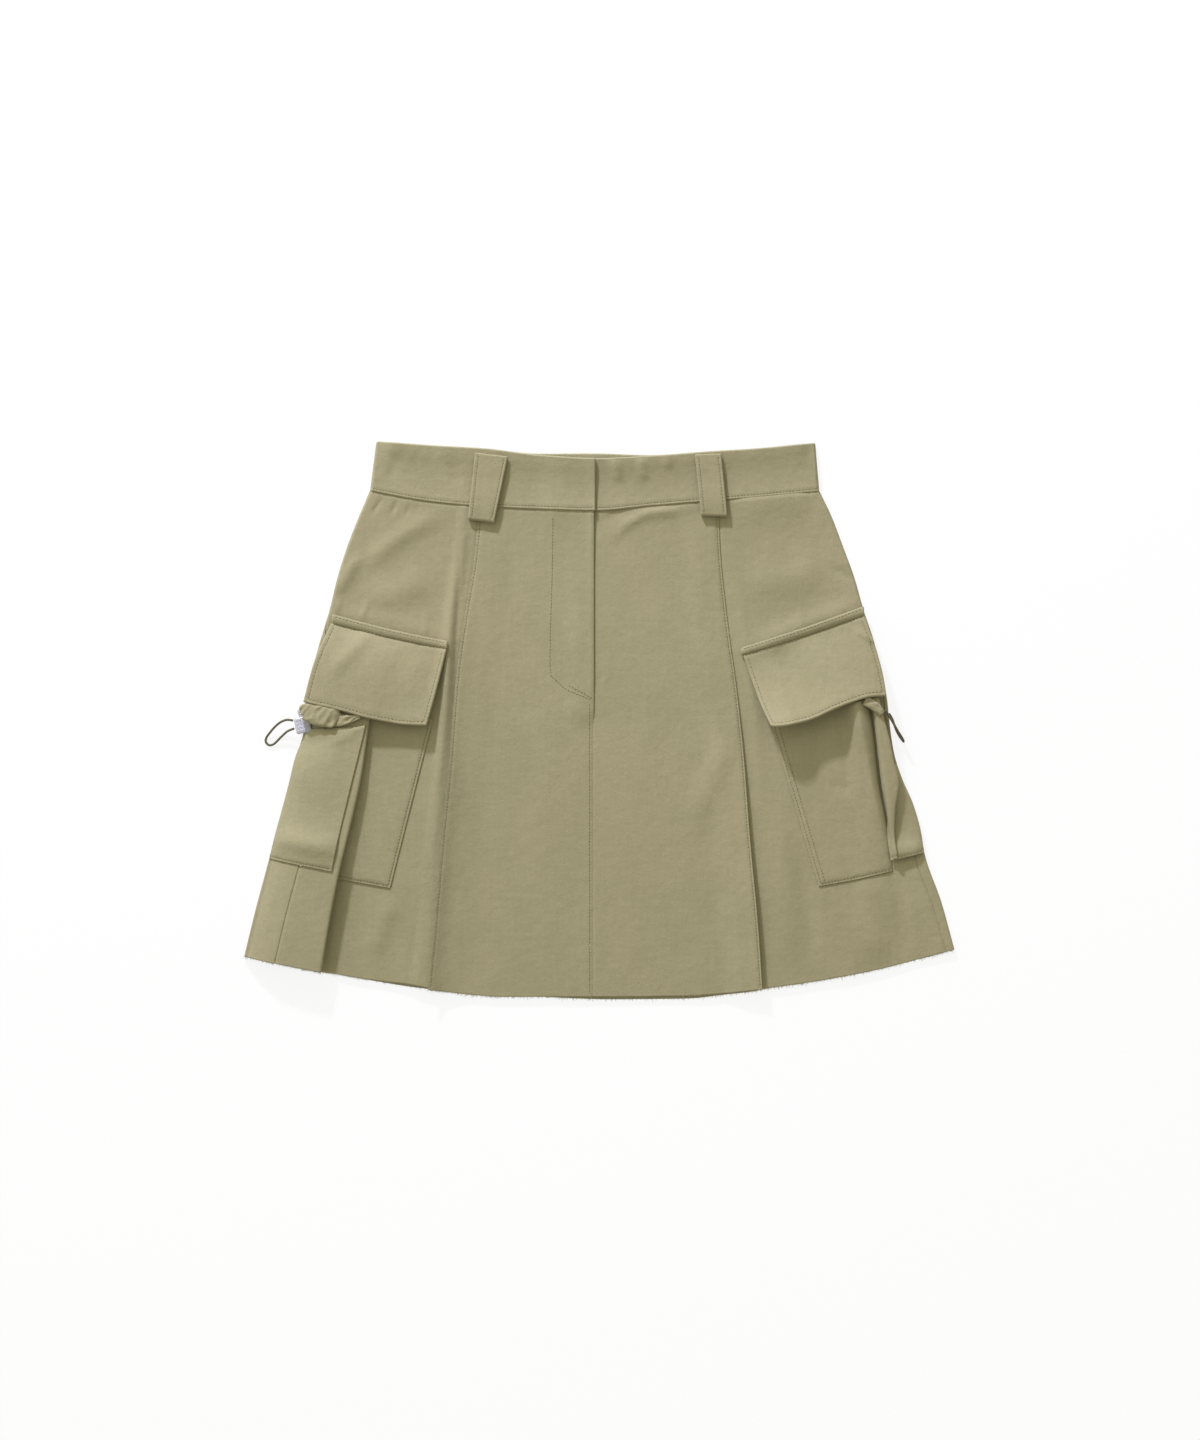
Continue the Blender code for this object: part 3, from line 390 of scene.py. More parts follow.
LOOP_PROFILE = Table(
    ("share", "level"),
    ((0.0, 9.5), (0.12, 9.3), (0.4, 8.7), (0.62, 9.0), (0.8, 8.9), (0.96, 8.2)),
)


# The laid skirt: its outline, its level lines and the height of each layer

def word_of(side: int) -> str:
    """Name the left (-1) or right (+1) side, as tables and pieces do."""
    return "left" if side < 0 else "right"


def princess(side: int, down: float) -> float:
    """Find x of a centre panel's outer edge."""
    return PRINCESS.at(word_of(side), down)


def side_x(side: int, down: np.ndarray | float) -> np.ndarray | float:
    """Find x of the skirt's left (-1) or right (+1) side fold at a level."""
    return CENTRE_FRONT + side * OUTLINE.at(word_of(side), down)


def half_width(x: np.ndarray, down: np.ndarray | float) -> np.ndarray:
    """Find how far the side fold on each point's side lies from the centre front."""
    return np.where(x < CENTRE_FRONT, CENTRE_FRONT - side_x(-1, down), side_x(1, down) - CENTRE_FRONT)


def level_y(x: np.ndarray, down: np.ndarray | float) -> np.ndarray:
    """Find y of points on the skirt.

    Args:
        x: their places across the skirt.
        down: their levels below the waistband.

    Returns:
        Their y.
    """
    x = np.asarray(x, float)
    across = (x - CENTRE_FRONT) / half_width(x, down)
    return mix(WAIST.at("seam", across), HEM.at("hem", across), np.asarray(down) / SKIRT_LENGTH)


def band_hold(down: float) -> float:
    """Tell how much the waistband still lifts the panels at a level."""
    return math.exp(-down / BAND_LIFT_REACH)


def band_climb(x: np.ndarray) -> np.ndarray:
    """Find how far the waistband's left end climbs over the right one and springs up at its very end."""
    foot = BAND_LAP_END - BAND_LAP - BAND_LAP_RAMP - LAP_ROOM
    rise = (BAND_WALL + SEAM_GAP) * ease((x - foot) / BAND_LAP_RAMP)
    return rise + BAND_END_SPRING * ease((x - BAND_LAP_END) / BAND_SPRING_WIDTH + 1.0)


def fold_radius(down: float) -> float:
    """Find the radius of the side fold, larger at the stiff waistband."""
    return mix(SIDE_FOLD_RADIUS, (BAND_FRONT_LEVEL - BACK_LEVEL) / 2, band_hold(down))


def fold_centre(side: int, down: float) -> float:
    """Find x of the middle of the side fold."""
    return side_x(side, down) - side * (CLOTH / 2 + fold_radius(down))


def side_rest(side: int, x: np.ndarray, down: float) -> np.ndarray:
    """Find the height of a side panel that lies flat.

    Args:
        side: -1 for the left side, 1 for the right one.
        x: places across the panel.
        down: the level.

    Returns:
        The heights.
    """
    hold = band_hold(down)
    edge_level = BACK_LEVEL + 2 * fold_radius(down)
    middle = mix(FRONT_LEVEL + SETTLED_GAP, BAND_FRONT_LEVEL, hold)
    level = mix(edge_level, middle, ease(side * (fold_centre(side, down) - x) / SIDE_SETTLE))
    from_princess = side * (x - princess(side, down))
    place, width = ROLL_PLACE, ROLL_HALF_WIDTH
    if side < 0:
        place, width = ROLL_LEFT.at("place", down), ROLL_LEFT.at("width", down)
    roll = bump(from_princess - place, width) * PRINCESS.at(f"roll_{word_of(side)}", down)
    underlay = mix(FRONT_LEVEL, BAND_FRONT_LEVEL - LAYER, hold)
    if side < 0:
        crest = PRINCESS.at("lift_left", down) * ROLL_LEFT.at("climb", down)
        roll = roll + crest * (1 - np.clip(from_princess / CREST_FADE, 0.0, 1.0)) ** CREST_CURL
        underlay = underlay + crest
    return mix(underlay, level + roll, ease(from_princess / PRINCESS.at(f"ramp_{word_of(side)}", down)))


def centre_rest(side: int, x: np.ndarray, down: float) -> np.ndarray:
    """Find the height of a centre panel: over the underlay at its outer edge, lower in the middle.

    Args:
        side: -1 for the left side, 1 for the right one.
        x: places across the panel.
        down: the level.

    Returns:
        The heights.
    """
    inward = side * (princess(side, down) - x)
    fallen = np.clip(inward / LIFT_FADE[side > 0], 0.0, 1.0)
    lift = PRINCESS.at(f"lift_{word_of(side)}", down) * (1 - fallen) ** LIFT_CURL[side > 0]
    middle = mix(FRONT_LEVEL + SETTLED_GAP, BAND_FRONT_LEVEL, band_hold(down))
    over_underlay = np.maximum(FRONT_LEVEL + LAYER + lift, middle)
    level = mix(over_underlay, middle, ease((inward - LAP_ZONE) / LAP_RAMP))
    if side < 0:
        over_fly = LAYER * (1 - ease((CENTRE_FRONT - x - FLY_LAP - LAP_ROOM) / FLY_RAMP))
        over_fly = over_fly * (1 - ease((down - FLY_LENGTH - FLY_HELD) / FLY_FADE))
        held_up = np.maximum(band_climb(x) - over_fly, 0.0) * math.exp(-down / PANEL_HELD)
        edge = ease((x - CENTRE_FRONT) / FLY_SPRING_WIDTH + 1.0)
        spring = FLY_SPRING * edge * (1 - ease((down - FLY_LENGTH + FLY_SPRING_END) / FLY_FADE))
        level = level + over_fly + held_up + spring
    return level


def side_front(side: int, x: np.ndarray, down: float) -> np.ndarray:
    """Find the height of the front's upper layer near a side fold, with the left pleat's rise.

    Args:
        side: -1 for the left side, 1 for the right one.
        x: places across the panel.
        down: the level.

    Returns:
        The heights.
    """
    level = side_rest(side, x, down)
    if side > 0:
        return level
    edge = PLEAT.at("edge", down)
    foot = fold_centre(side, down)
    share = np.clip((x - foot) / (edge - PLEAT_ROLL - foot), 0.0, 1.0)
    rise = max(0.0, PLEAT.at("height", down) - side_rest(side, edge, down))
    return level + rise * (1 - (1 - share) ** PLEAT_CURL)


def around_side(side: int, length: np.ndarray, down: float) -> np.ndarray:
    """Run round the tube from the back's flat, through the side fold to the front.

    Args:
        side: -1 for the left side fold, 1 for the right one.
        length: how far round, one or more places.
        down: the level.

    Returns:
        An array of x and z for each place.
    """
    length = np.atleast_1d(length)
    radius = fold_radius(down)
    centre = fold_centre(side, down)
    turn = np.minimum(length / radius, math.pi)
    past = np.maximum(length - math.pi * radius, 0.0)
    x = centre + side * radius * np.sin(turn) - side * past
    z = np.where(past > 0, side_front(side, x, down), BACK_LEVEL + radius * (1 - np.cos(turn)))
    return np.column_stack([x, z])


def seam_length(side: int, down: float) -> float:
    """Find how far round the tube the side seam lies."""
    return fold_radius(down) * math.pi / 2 + SIDE_SEAM.at(word_of(side), down)


EDGE_STEPS = np.array((0.0, 0.5, 1.1, 1.7, 2.3, 3.1, 4.4, 6.4))


def edged(start: float, end: float, count: int) -> np.ndarray:
    """Space places between two edges, closer together beside each edge.

    Args:
        start: the first place.
        end: the last place.
        count: how many places lie between the close ones.

    Returns:
        The places in order.
    """
    way = math.copysign(1.0, end - start)
    near = EDGE_STEPS * min(1.0, abs(end - start) / (3 * EDGE_STEPS[-1]))
    first = start + way * near
    last = end - way * near[::-1]
    return np.concatenate([first, np.linspace(first[-1], last[0], count + 2)[1:-1], last])


def shares_of(length: float, count: int) -> np.ndarray:
    """Space shares from 0 to 1 along a side of some length, closer together beside its ends."""
    return edged(0.0, length, count) / length


def flat_run(x: np.ndarray, z: np.ndarray | float) -> np.ndarray:
    """Pair places across the skirt with their heights."""
    return np.column_stack([x, np.broadcast_to(z, x.shape)])


# Sections of the panels: each gives the x and z of one level's points

PAST_FOLD = np.array((0.1, 0.2, 0.3, 0.4, 0.5, 0.6, 0.7, 0.8, 0.87, 0.92, 0.96, 1.0))


def side_steps(side: int, down: float, trim: float) -> np.ndarray:
    """Space the lengths round one side fold from the flat back to the seam.

    Args:
        side: -1 for the left side, 1 for the right one.
        down: the level.
        trim: how far past the seam to go.

    Returns:
        The lengths in order.
    """
    end = seam_length(side, down) + trim
    fold_end = fold_radius(down) * math.pi
    if end < fold_end + 1.0:
        return np.linspace(0.0, end, 24)
    return np.concatenate([np.linspace(0.0, fold_end, 12), fold_end + (end - fold_end) * PAST_FOLD])


def back_section(down: float) -> np.ndarray:
    """Run from the left side seam under the skirt to the right side seam."""
    left = around_side(-1, side_steps(-1, down, -SEAM_TRIM), down)
    right = around_side(1, side_steps(1, down, -SEAM_TRIM), down)
    flat = flat_run(np.linspace(fold_centre(-1, down), fold_centre(1, down), 92)[1:-1], BACK_LEVEL)
    return np.concatenate([left[::-1], flat, right])


def pleat_points(down: float) -> np.ndarray:
    """Find the points of the left pleat: its upper fold, the return under it and its inner fold.

    Args:
        down: the level.

    Returns:
        The x and z of each point.
    """
    edge = PLEAT.at("edge", down)
    opened = PLEAT.at("opened", down)
    inner = edge - PLEAT.at("tuck", down)
    top = float(side_front(-1, edge - PLEAT_ROLL, down))
    low = float(side_rest(-1, edge + PLEAT_STEP, down))
    turn = np.linspace(0.0, math.pi, 8)
    upper = np.column_stack([edge - PLEAT_ROLL * (1 - np.sin(turn)), top - PLEAT_ROLL * (1 - np.cos(turn))])
    lower = np.column_stack([inner + TUCK_ROLL * (1 - np.sin(turn)), low + TUCK_ROLL * (1 + np.cos(turn))])
    share = np.linspace(0.0, 1.0, 11)[1:-1]
    between = flat_run(mix(upper[-1, 0], lower[0, 0], share), mix(upper[-1, 1], lower[0, 1], ease(share)))
    folded = np.concatenate([upper, between, lower])
    across = np.linspace(-PLEAT_STEP, PLEAT_STEP, len(folded))
    closed = np.column_stack([edge + across, mix(top, low, ease((across / PLEAT_STEP + 1) / 2))])
    return mix(closed, folded, opened)


def around_from_seam(side: int, down: float) -> np.ndarray:
    """Find the first points of a side panel, from its side seam until it lies flat."""
    start = seam_length(side, down) + SEAM_GAP / 2
    end = max(start, fold_radius(down) * math.pi) + 2.0
    return around_side(side, np.linspace(start, end, 10), down)


def front_side_left_section(down: float) -> np.ndarray:
    """Run from the left side seam over the pleat to the underlay beneath the centre panel.

    Args:
        down: the level.

    Returns:
        The x and z of each point.
    """
    around = around_from_seam(-1, down)
    pleat = pleat_points(down)
    slope = np.linspace(around[-1, 0], pleat[0, 0], 26)[1:-1]
    edge = princess(-1, down)
    rest = np.linspace(pleat[-1, 0], edge - 0.5, 46)[1:]
    under = np.array((edge + UNDERLAY / 2, edge + UNDERLAY))
    level = np.maximum(side_rest(-1, rest, down), FRONT_LEVEL)
    return np.concatenate(
        [
            around,
            flat_run(slope, side_front(-1, slope, down)),
            pleat,
            flat_run(rest, level),
            flat_run(under, np.clip(centre_rest(-1, under, down) - LAYER, FRONT_LEVEL, level[-1])),
        ]
    )


def front_side_right_section(down: float) -> np.ndarray:
    """Run from the underlay beneath the centre panel to the right side seam.

    Args:
        down: the level.

    Returns:
        The x and z of each point.
    """
    around = around_from_seam(1, down)
    edge = princess(1, down)
    under = np.array((edge - UNDERLAY, edge - UNDERLAY / 2))
    rest = np.linspace(edge + 0.5, around[-1, 0], 66)[:-1]
    laid = flat_run(rest, side_rest(1, rest, down))
    return np.concatenate([flat_run(under, FRONT_LEVEL), laid, around[::-1]])


def centre_left_section(down: float) -> np.ndarray:
    """Run across the left centre panel, from its princess edge to the centre front."""
    x = edged(princess(-1, down), CENTRE_FRONT - SEAM_GAP / 2, 36)
    return flat_run(x, centre_rest(-1, x, down))


def centre_right_section(down: float) -> np.ndarray:
    """Run across the right centre panel, from the centre front to its princess edge."""
    lap = FLY_LAP * ease((FLY_LENGTH - down) / FLY_RUN_OUT)
    x = edged(CENTRE_FRONT + SEAM_GAP / 2 - lap, princess(1, down), 38)
    return flat_run(x, centre_rest(1, x, down))


def moved_out(points: np.ndarray, distance: float) -> np.ndarray:
    """Move a section's points out along its own normal."""
    run = np.gradient(points, axis=0)
    run /= np.linalg.norm(run, axis=1)[:, None]
    return points + np.column_stack([-run[:, 1], run[:, 0]]) * distance


def outer_left_section(down: float) -> np.ndarray:
    """Lay the left pocket's outer half on the pleat, from the side fold to its folded edge."""
    fold_end = fold_radius(down) * math.pi
    wrap = around_side(-1, np.linspace(fold_end * POCKET_WRAP, fold_end + 0.6, 6), down)
    x = edged(wrap[-1, 0], POCKET_LEFT.at("outer_edge", down), 16)[1:]
    return moved_out(np.concatenate([wrap, flat_run(x, side_front(-1, x, down))]), LAYER)


def front_left_section(down: float) -> np.ndarray:
    """Lay the left pocket's front half on the lower layer, from inside the pleat to its side edge."""
    start = pleat_points(down)[-1, 0] + POCKET_START
    x = edged(start, POCKET_LEFT.at("front_edge", down), 26)
    return moved_out(flat_run(x, side_rest(-1, x, down)), LAYER)


def front_right_section(down: float) -> np.ndarray:
    """Run from the right pocket's front edge over its bulge to the crease beside the gusset.

    Args:
        down: the level.

    Returns:
        The x and z of each point.
    """
    crease = POCKET_RIGHT.at("crease", down)
    bulge = POCKET_RIGHT.at("bulge", down)
    foot = crease - POCKET_BULGE
    top = crease - POCKET_RIGHT.at("fall", down)
    x = np.concatenate([edged(POCKET_RIGHT.at("front_edge", down), foot, 12), np.linspace(foot, top, 13)[1:]])
    low = side_rest(1, x, down) + LAYER
    z = mix(low, np.maximum(low, bulge), ease((x - foot) / (top - foot)))
    end_level = POCKET_RIGHT.at("crease_level", down)
    share = np.array((0.1, 0.22, 0.36, 0.5, 0.64, 0.77, 0.89, 1.0))
    fall_x = mix(x[-1], crease - SEAM_GAP, share)
    fall_z = mix(z[-1], end_level, share**POCKET_FALL)
    return np.concatenate([flat_run(x, z), flat_run(fall_x, fall_z)])


def gusset_section(down: float) -> np.ndarray:
    """Arch the right pocket's gusset from the crease up and over to its outer edge.

    Args:
        down: the level.

    Returns:
        The x and z of each point.
    """
    crease = POCKET_RIGHT.at("crease", down) + 2 * SEAM_GAP + CLOTH
    edge = POCKET_RIGHT.at("gusset_edge", down) - CLOTH / 2
    share = np.linspace(0.0, 1.0, 18)
    foot = POCKET_RIGHT.at("crease_level", down)
    top = POCKET_RIGHT.at("gusset", down)
    return flat_run(mix(crease, edge, share), mix(foot, top, GUSSET_ARCH.at("rise", share)))


def outer_right_section(down: float) -> np.ndarray:
    """Lay the right pocket's outer half at the side fold, from beneath the gusset outwards.

    Args:
        down: the level.

    Returns:
        The x and z of each point.
    """
    fold_end = fold_radius(down) * math.pi
    wrap = around_side(1, np.linspace(fold_end + 0.6, fold_end * POCKET_WRAP, 6), down)
    start = min(POCKET_RIGHT.at("gusset_edge", down) - 5.0, wrap[0, 0] - 2.0)
    x = np.linspace(start, wrap[0, 0], 16)[:-1]
    points = moved_out(np.concatenate([flat_run(x, side_rest(1, x, down)), wrap]), LAYER)
    across = (points[:, 0] - start) / (points[-1, 0] - start)
    points[:, 1] += OUTER_RIGHT_LIFT.at("lift", down) * (1 - np.clip(across, 0.0, 1.0))
    return points


# Folds and creases

def lattice_value(i: np.ndarray, j: np.ndarray, seed: int) -> np.ndarray:
    """Give each lattice point a fixed value from -1 to 1 that looks random."""
    mixed = (i.astype(np.int64) * 374761393 + j.astype(np.int64) * 668265263 + seed * 1442695041) & 0xFFFFFFFF
    mixed = ((mixed ^ (mixed >> 13)) * 1274126177) & 0xFFFFFFFF
    return ((mixed ^ (mixed >> 16)) & 0xFFFF) / 32767.5 - 1.0


def soft_noise(x: np.ndarray, y: np.ndarray, seed: int) -> np.ndarray:
    """Make smooth bumps of about one unit across.

    Args:
        x: places across, in units of the bumps' size.
        y: places along, in units of the bumps' size.
        seed: which pattern.

    Returns:
        Heights from -1 to 1.
    """
    i, j = np.floor(x), np.floor(y)
    u, v = x - i, y - j
    u, v = u**3 * (u * (6 * u - 15) + 10), v**3 * (v * (6 * v - 15) + 10)
    near = mix(lattice_value(i, j, seed), lattice_value(i + 1, j, seed), u)
    far = mix(lattice_value(i, j + 1, seed), lattice_value(i + 1, j + 1, seed), u)
    return mix(near, far, v)


# Rise, width, length and seed of the cloth's soft waves
UNEVEN = ((0.42, 46.0, 90.0, 3), (0.20, 19.0, 34.0, 5), (0.05, 6.0, 8.0, 8))
CREASE_TAPER = 0.3
CREASE_END = 0.15


@dataclass(frozen=True)
class Crease:
    """A soft ridge, or a trough if its height is negative, along a line of points (x, y)."""

    height: float
    width: float
    path: tuple[tuple[float, float], ...]
    steep: float = 1.0

    def lift(self, x: np.ndarray, y: np.ndarray) -> np.ndarray:
        """Find how far the crease lifts the cloth.

        Args:
            x: places across the skirt.
            y: places along it.

        Returns:
            The heights there. On the left of the path's run, the slope is steeper by steep.
        """
        nearest = np.full(np.shape(x), 1e6)
        across = np.zeros(np.shape(x))
        along = np.zeros(np.shape(x))
        points = np.array(self.path, float)
        lengths = np.linalg.norm(np.diff(points, axis=0), axis=1)
        total, done = lengths.sum(), 0.0
        for start, end, length in zip(points[:-1], points[1:], lengths):
            run = (end - start) / length
            dx, dy = x - start[0], y - start[1]
            t = np.clip(dx * run[0] + dy * run[1], 0.0, length)
            off_x, off_y = dx - t * run[0], dy - t * run[1]
            distance = np.hypot(off_x, off_y)
            closer = distance < nearest
            nearest = np.where(closer, distance, nearest)
            across = np.where(closer, run[0] * off_y - run[1] * off_x, across)
            along = np.where(closer, (done + t) / total, along)
            done += length
        width = np.where(across > 0, self.width / self.steep, self.width)
        taper = mix(CREASE_END, 1.0, ease(along / CREASE_TAPER) * ease((1 - along) / CREASE_TAPER))
        return self.height * taper * np.exp(-((nearest / width) ** 2))


def relief(creases: tuple[Crease, ...], x: np.ndarray, y: np.ndarray, amount: float) -> np.ndarray:
    """Add up the creases and the soft unevenness of washed twill.

    Args:
        creases: the listed folds.
        x: places across the skirt.
        y: places along it.
        amount: how uneven the cloth lies.

    Returns:
        The heights above the smooth form.
    """
    waves = (rise * soft_noise(x / width, y / length, seed) for rise, width, length, seed in UNEVEN)
    height = amount * sum(waves)
    for crease in creases:
        height = height + crease.lift(x, y)
    return height


# Cloth pieces

EDGE_ROUNDING = 0.35
TURNING_LIFT = 0.14
STITCH_SINK = 0.24
STITCH_WIDTH = 0.7
RIPPLE = 0.1
RIPPLE_WIDTH = 2.6
WORN_REACH = 1.6
SEAM_SINK = 0.45
STITCH_PUCKER = (2.8, 9.0)
SEAM_PUCKER = (3.6, 14.0)


class Edge(Enum):
    """How an edge of a piece of cloth is finished."""

    TURNED = "turned under and stitched"
    PRESSED = "turned under, stitched down and pressed flat"
    SEAM = "caught in a seam"
    RAW = "raw"
    FOLD = "folded"


class Side(Enum):
    """The four sides of a piece's grid of points."""

    TOP = 0
    BOTTOM = 1
    FIRST = 2
    LAST = 3


@dataclass
class Cloth:
    """A piece of cloth: the points through its middle, in rows down the piece and columns across it."""

    name: str
    grid: np.ndarray
    wall: float
    edges: tuple[Edge, Edge, Edge, Edge]
    stitched: float = 2.4
    turning: float = 7.0
    seed: int = 1

    def normals(self) -> np.ndarray:
        """Find the direction out of the cloth's face at each point."""
        face = np.cross(np.gradient(self.grid, axis=0), np.gradient(self.grid, axis=1))
        return face / np.linalg.norm(face, axis=2, keepdims=True)

    def distances(self) -> np.ndarray:
        """Measure each point's distance along the cloth from the four sides, in the order of Side.

        Returns:
            Four grids of distances.
        """
        down = np.linalg.norm(np.diff(self.grid, axis=0), axis=2)
        across = np.linalg.norm(np.diff(self.grid, axis=1), axis=2)
        from_top = np.concatenate([np.zeros((1, down.shape[1])), np.cumsum(down, axis=0)])
        from_first = np.concatenate([np.zeros((across.shape[0], 1)), np.cumsum(across, axis=1)], axis=1)
        return np.stack([from_top, from_top[-1:] - from_top, from_first, from_first[:, -1:] - from_first])

    def ridge(self) -> np.ndarray:
        """Find how far the turnings, stitches and seams lift the face above the plain wall.

        Returns:
            The lift at each point of the grid.
        """
        distances = self.distances()
        lift = np.zeros(self.grid.shape[:2])
        pressed = np.zeros(self.grid.shape[:2])
        stitches = np.zeros(self.grid.shape[:2])
        for side, edge in zip(Side, self.edges):
            distance = distances[side.value]
            along = distances[Side.FIRST.value if side in (Side.TOP, Side.BOTTOM) else Side.TOP.value]
            length, reach = SEAM_PUCKER if edge is Edge.SEAM else STITCH_PUCKER
            pucker = soft_noise(along / length, distance / reach, self.seed + side.value)
            if edge is Edge.TURNED:
                lift = np.maximum(lift, TURNING_LIFT * (1 - ease((distance - self.turning) / 2.0)))
                stitches -= (STITCH_SINK + RIPPLE * pucker) * bump(distance - self.stitched, STITCH_WIDTH)
                stitches += RIPPLE * pucker * bump(distance - self.stitched, RIPPLE_WIDTH)
            elif edge is Edge.PRESSED:
                pressed = np.maximum(pressed, PRESSED_BY * (1 - ease((distance - 0.6) / 3.0)))
                stitches += (0.12 * pucker - 0.1) * bump(distance - self.stitched, 1.6)
            elif edge is Edge.SEAM:
                stitches += 0.14 * pucker * np.exp(-distance / 7.0) - SEAM_SINK * bump(distance, 1.2)
        return lift - pressed + stitches

    def face(self) -> np.ndarray:
        """Find the points of the cloth's face."""
        return self.grid + self.normals() * (self.wall / 2 + self.ridge())[:, :, None]

    def beside(self, side: Side, distance: float) -> np.ndarray:
        """Run a line on the face beside one side.

        Args:
            side: which side of the piece.
            distance: how far in from it.

        Returns:
            The line's points, one for each row or column of the grid.
        """
        grid = self.face()
        if side in (Side.TOP, Side.BOTTOM):
            grid = grid.transpose(1, 0, 2)
        if side in (Side.BOTTOM, Side.LAST):
            grid = grid[:, ::-1]
        return np.concatenate([resample(line, np.array([distance])) for line in grid])

    def rim(self) -> list[tuple[int, int]]:
        """List the grid places round the piece in the order of its walls.

        Returns:
            The row and the column of each place.
        """
        rows, columns = self.grid.shape[:2]
        return (
            [(0, j) for j in range(columns)]
            + [(i, columns - 1) for i in range(1, rows)]
            + [(rows - 1, j) for j in range(columns - 2, -1, -1)]
            + [(i, 0) for i in range(rows - 2, 0, -1)]
        )

    def build(self, material: bpy.types.Material) -> bpy.types.Object:
        """Make the piece as a closed wall with rounded edges.

        Args:
            material: its cloth.

        Returns:
            The object, with how near each point is to a finished edge as an attribute.
        """
        rows, columns = self.grid.shape[:2]
        count = rows * columns
        normals = self.normals()
        top = self.face()
        bottom = self.grid - normals * self.wall / 2
        outward = np.zeros_like(self.grid)
        for end, beside in ((0, 1), (-1, -2)):
            outward[end] += self.grid[end] - self.grid[beside]
            outward[:, end] += self.grid[:, end] - self.grid[:, beside]
        rim = self.rim()
        where = tuple(np.array(rim).T)
        push = outward[where]
        push /= np.maximum(np.linalg.norm(push, axis=1, keepdims=True), 1e-9)
        middle = self.grid[where] + push * self.wall * EDGE_ROUNDING
        points = np.concatenate([top.reshape(-1, 3), bottom.reshape(-1, 3), middle])

        upper = grid_faces(rows, columns)
        lower = upper[:, ::-1] + count
        edge = np.array([i * columns + j for i, j in rim])
        after = np.roll(edge, -1)
        mid = 2 * count + np.arange(len(rim))
        mid_after = np.roll(mid, -1)
        walls = np.concatenate(
            [
                np.column_stack([edge, after, mid_after, mid]),
                np.column_stack([mid, mid_after, after + count, edge + count]),
            ]
        )
        piece = make_mesh(self.name, points, np.concatenate([upper, lower, walls]), material)
        worn = np.zeros((rows, columns))
        for distance, kind in zip(self.distances(), self.edges):
            if kind is not Edge.SEAM:
                worn = np.maximum(worn, np.exp(-distance / WORN_REACH))
        values = np.concatenate([worn.ravel(), worn.ravel(), worn[where]])
        piece.data.attributes.new("worn", "FLOAT", "POINT").data.foreach_set("value", values)
        return piece


def grid_faces(rows: int, columns: int) -> np.ndarray:
    """Make the faces of a grid of points."""
    corner = (np.arange(rows - 1)[:, None] * columns + np.arange(columns - 1)[None, :]).ravel()
    return np.column_stack([corner, corner + columns, corner + columns + 1, corner + 1])


def tube_faces(rings: int, turns: int) -> np.ndarray:
    """Make the faces of a tube of rings, each of so many points."""
    ring, turn = np.meshgrid(np.arange(rings - 1), np.arange(turns), indexing="ij")
    a, b = (ring * turns + turn).ravel(), (ring * turns + (turn + 1) % turns).ravel()
    return np.column_stack([a, b, b + turns, a + turns])


def make_mesh(
    name: str, points: np.ndarray, faces: np.ndarray, material: bpy.types.Material
) -> bpy.types.Object:
    """Make an object from points in millimetres.

    Args:
        name: the object's name.
        points: its points.
        faces: its faces, as rows of four point numbers. A triangle has its last one twice.
        material: its finish.

    Returns:
        The object, with smooth faces.
    """
    mesh = bpy.data.meshes.new(name)
    rows = [row[:3] if row[2] == row[3] else row for row in faces.tolist()]
    mesh.from_pydata((points * MM).tolist(), [], rows)
    mesh.shade_smooth()
    mesh.materials.append(material)
    piece = bpy.data.objects.new(name, mesh)
    bpy.context.scene.collection.objects.link(piece)
    return piece


def fit(piece: bpy.types.Object, node: str | None = None) -> None:
    """Let a piece ride on the skirt and hide the CAD node that it replaces."""
    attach(piece, "root")
    if node:
        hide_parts(node)


def finish_cloth(cloth: Cloth, material: bpy.types.Material) -> None:
    """Args:
        cloth: the piece, named as its CAD node.
        material: its cloth.
    """
    piece = cloth.build(material)
    piece.name = f"{cloth.name}_cloth"
    fit(piece, cloth.name)


# Thread

STITCH_TURNS = 5
STITCH_PLACES = np.array((0.0, 0.14, 0.5, 0.86, 1.0))
STITCH_THICKNESS = np.array((0.35, 1.0, 1.0, 1.0, 0.35))
STITCH_LIFT = np.array((-0.22, 0.08, 0.2, 0.08, -0.22))
STITCH_SLANT = 0.09
THREAD_RADIUS = 0.25


def line_length(line: np.ndarray) -> float:
    """Measure a line of points."""
    return float(np.linalg.norm(np.diff(line, axis=0), axis=1).sum())


def reach_along(line: np.ndarray) -> np.ndarray:
    """Measure how far along a line each of its points is."""
    return np.concatenate([[0.0], np.cumsum(np.linalg.norm(np.diff(line, axis=0), axis=1))])


def resample(line: np.ndarray, places: np.ndarray) -> np.ndarray:
    """Find points at given lengths along a line."""
    reach = reach_along(line)
    return np.column_stack([np.interp(places, reach, line[:, k]) for k in range(3)])


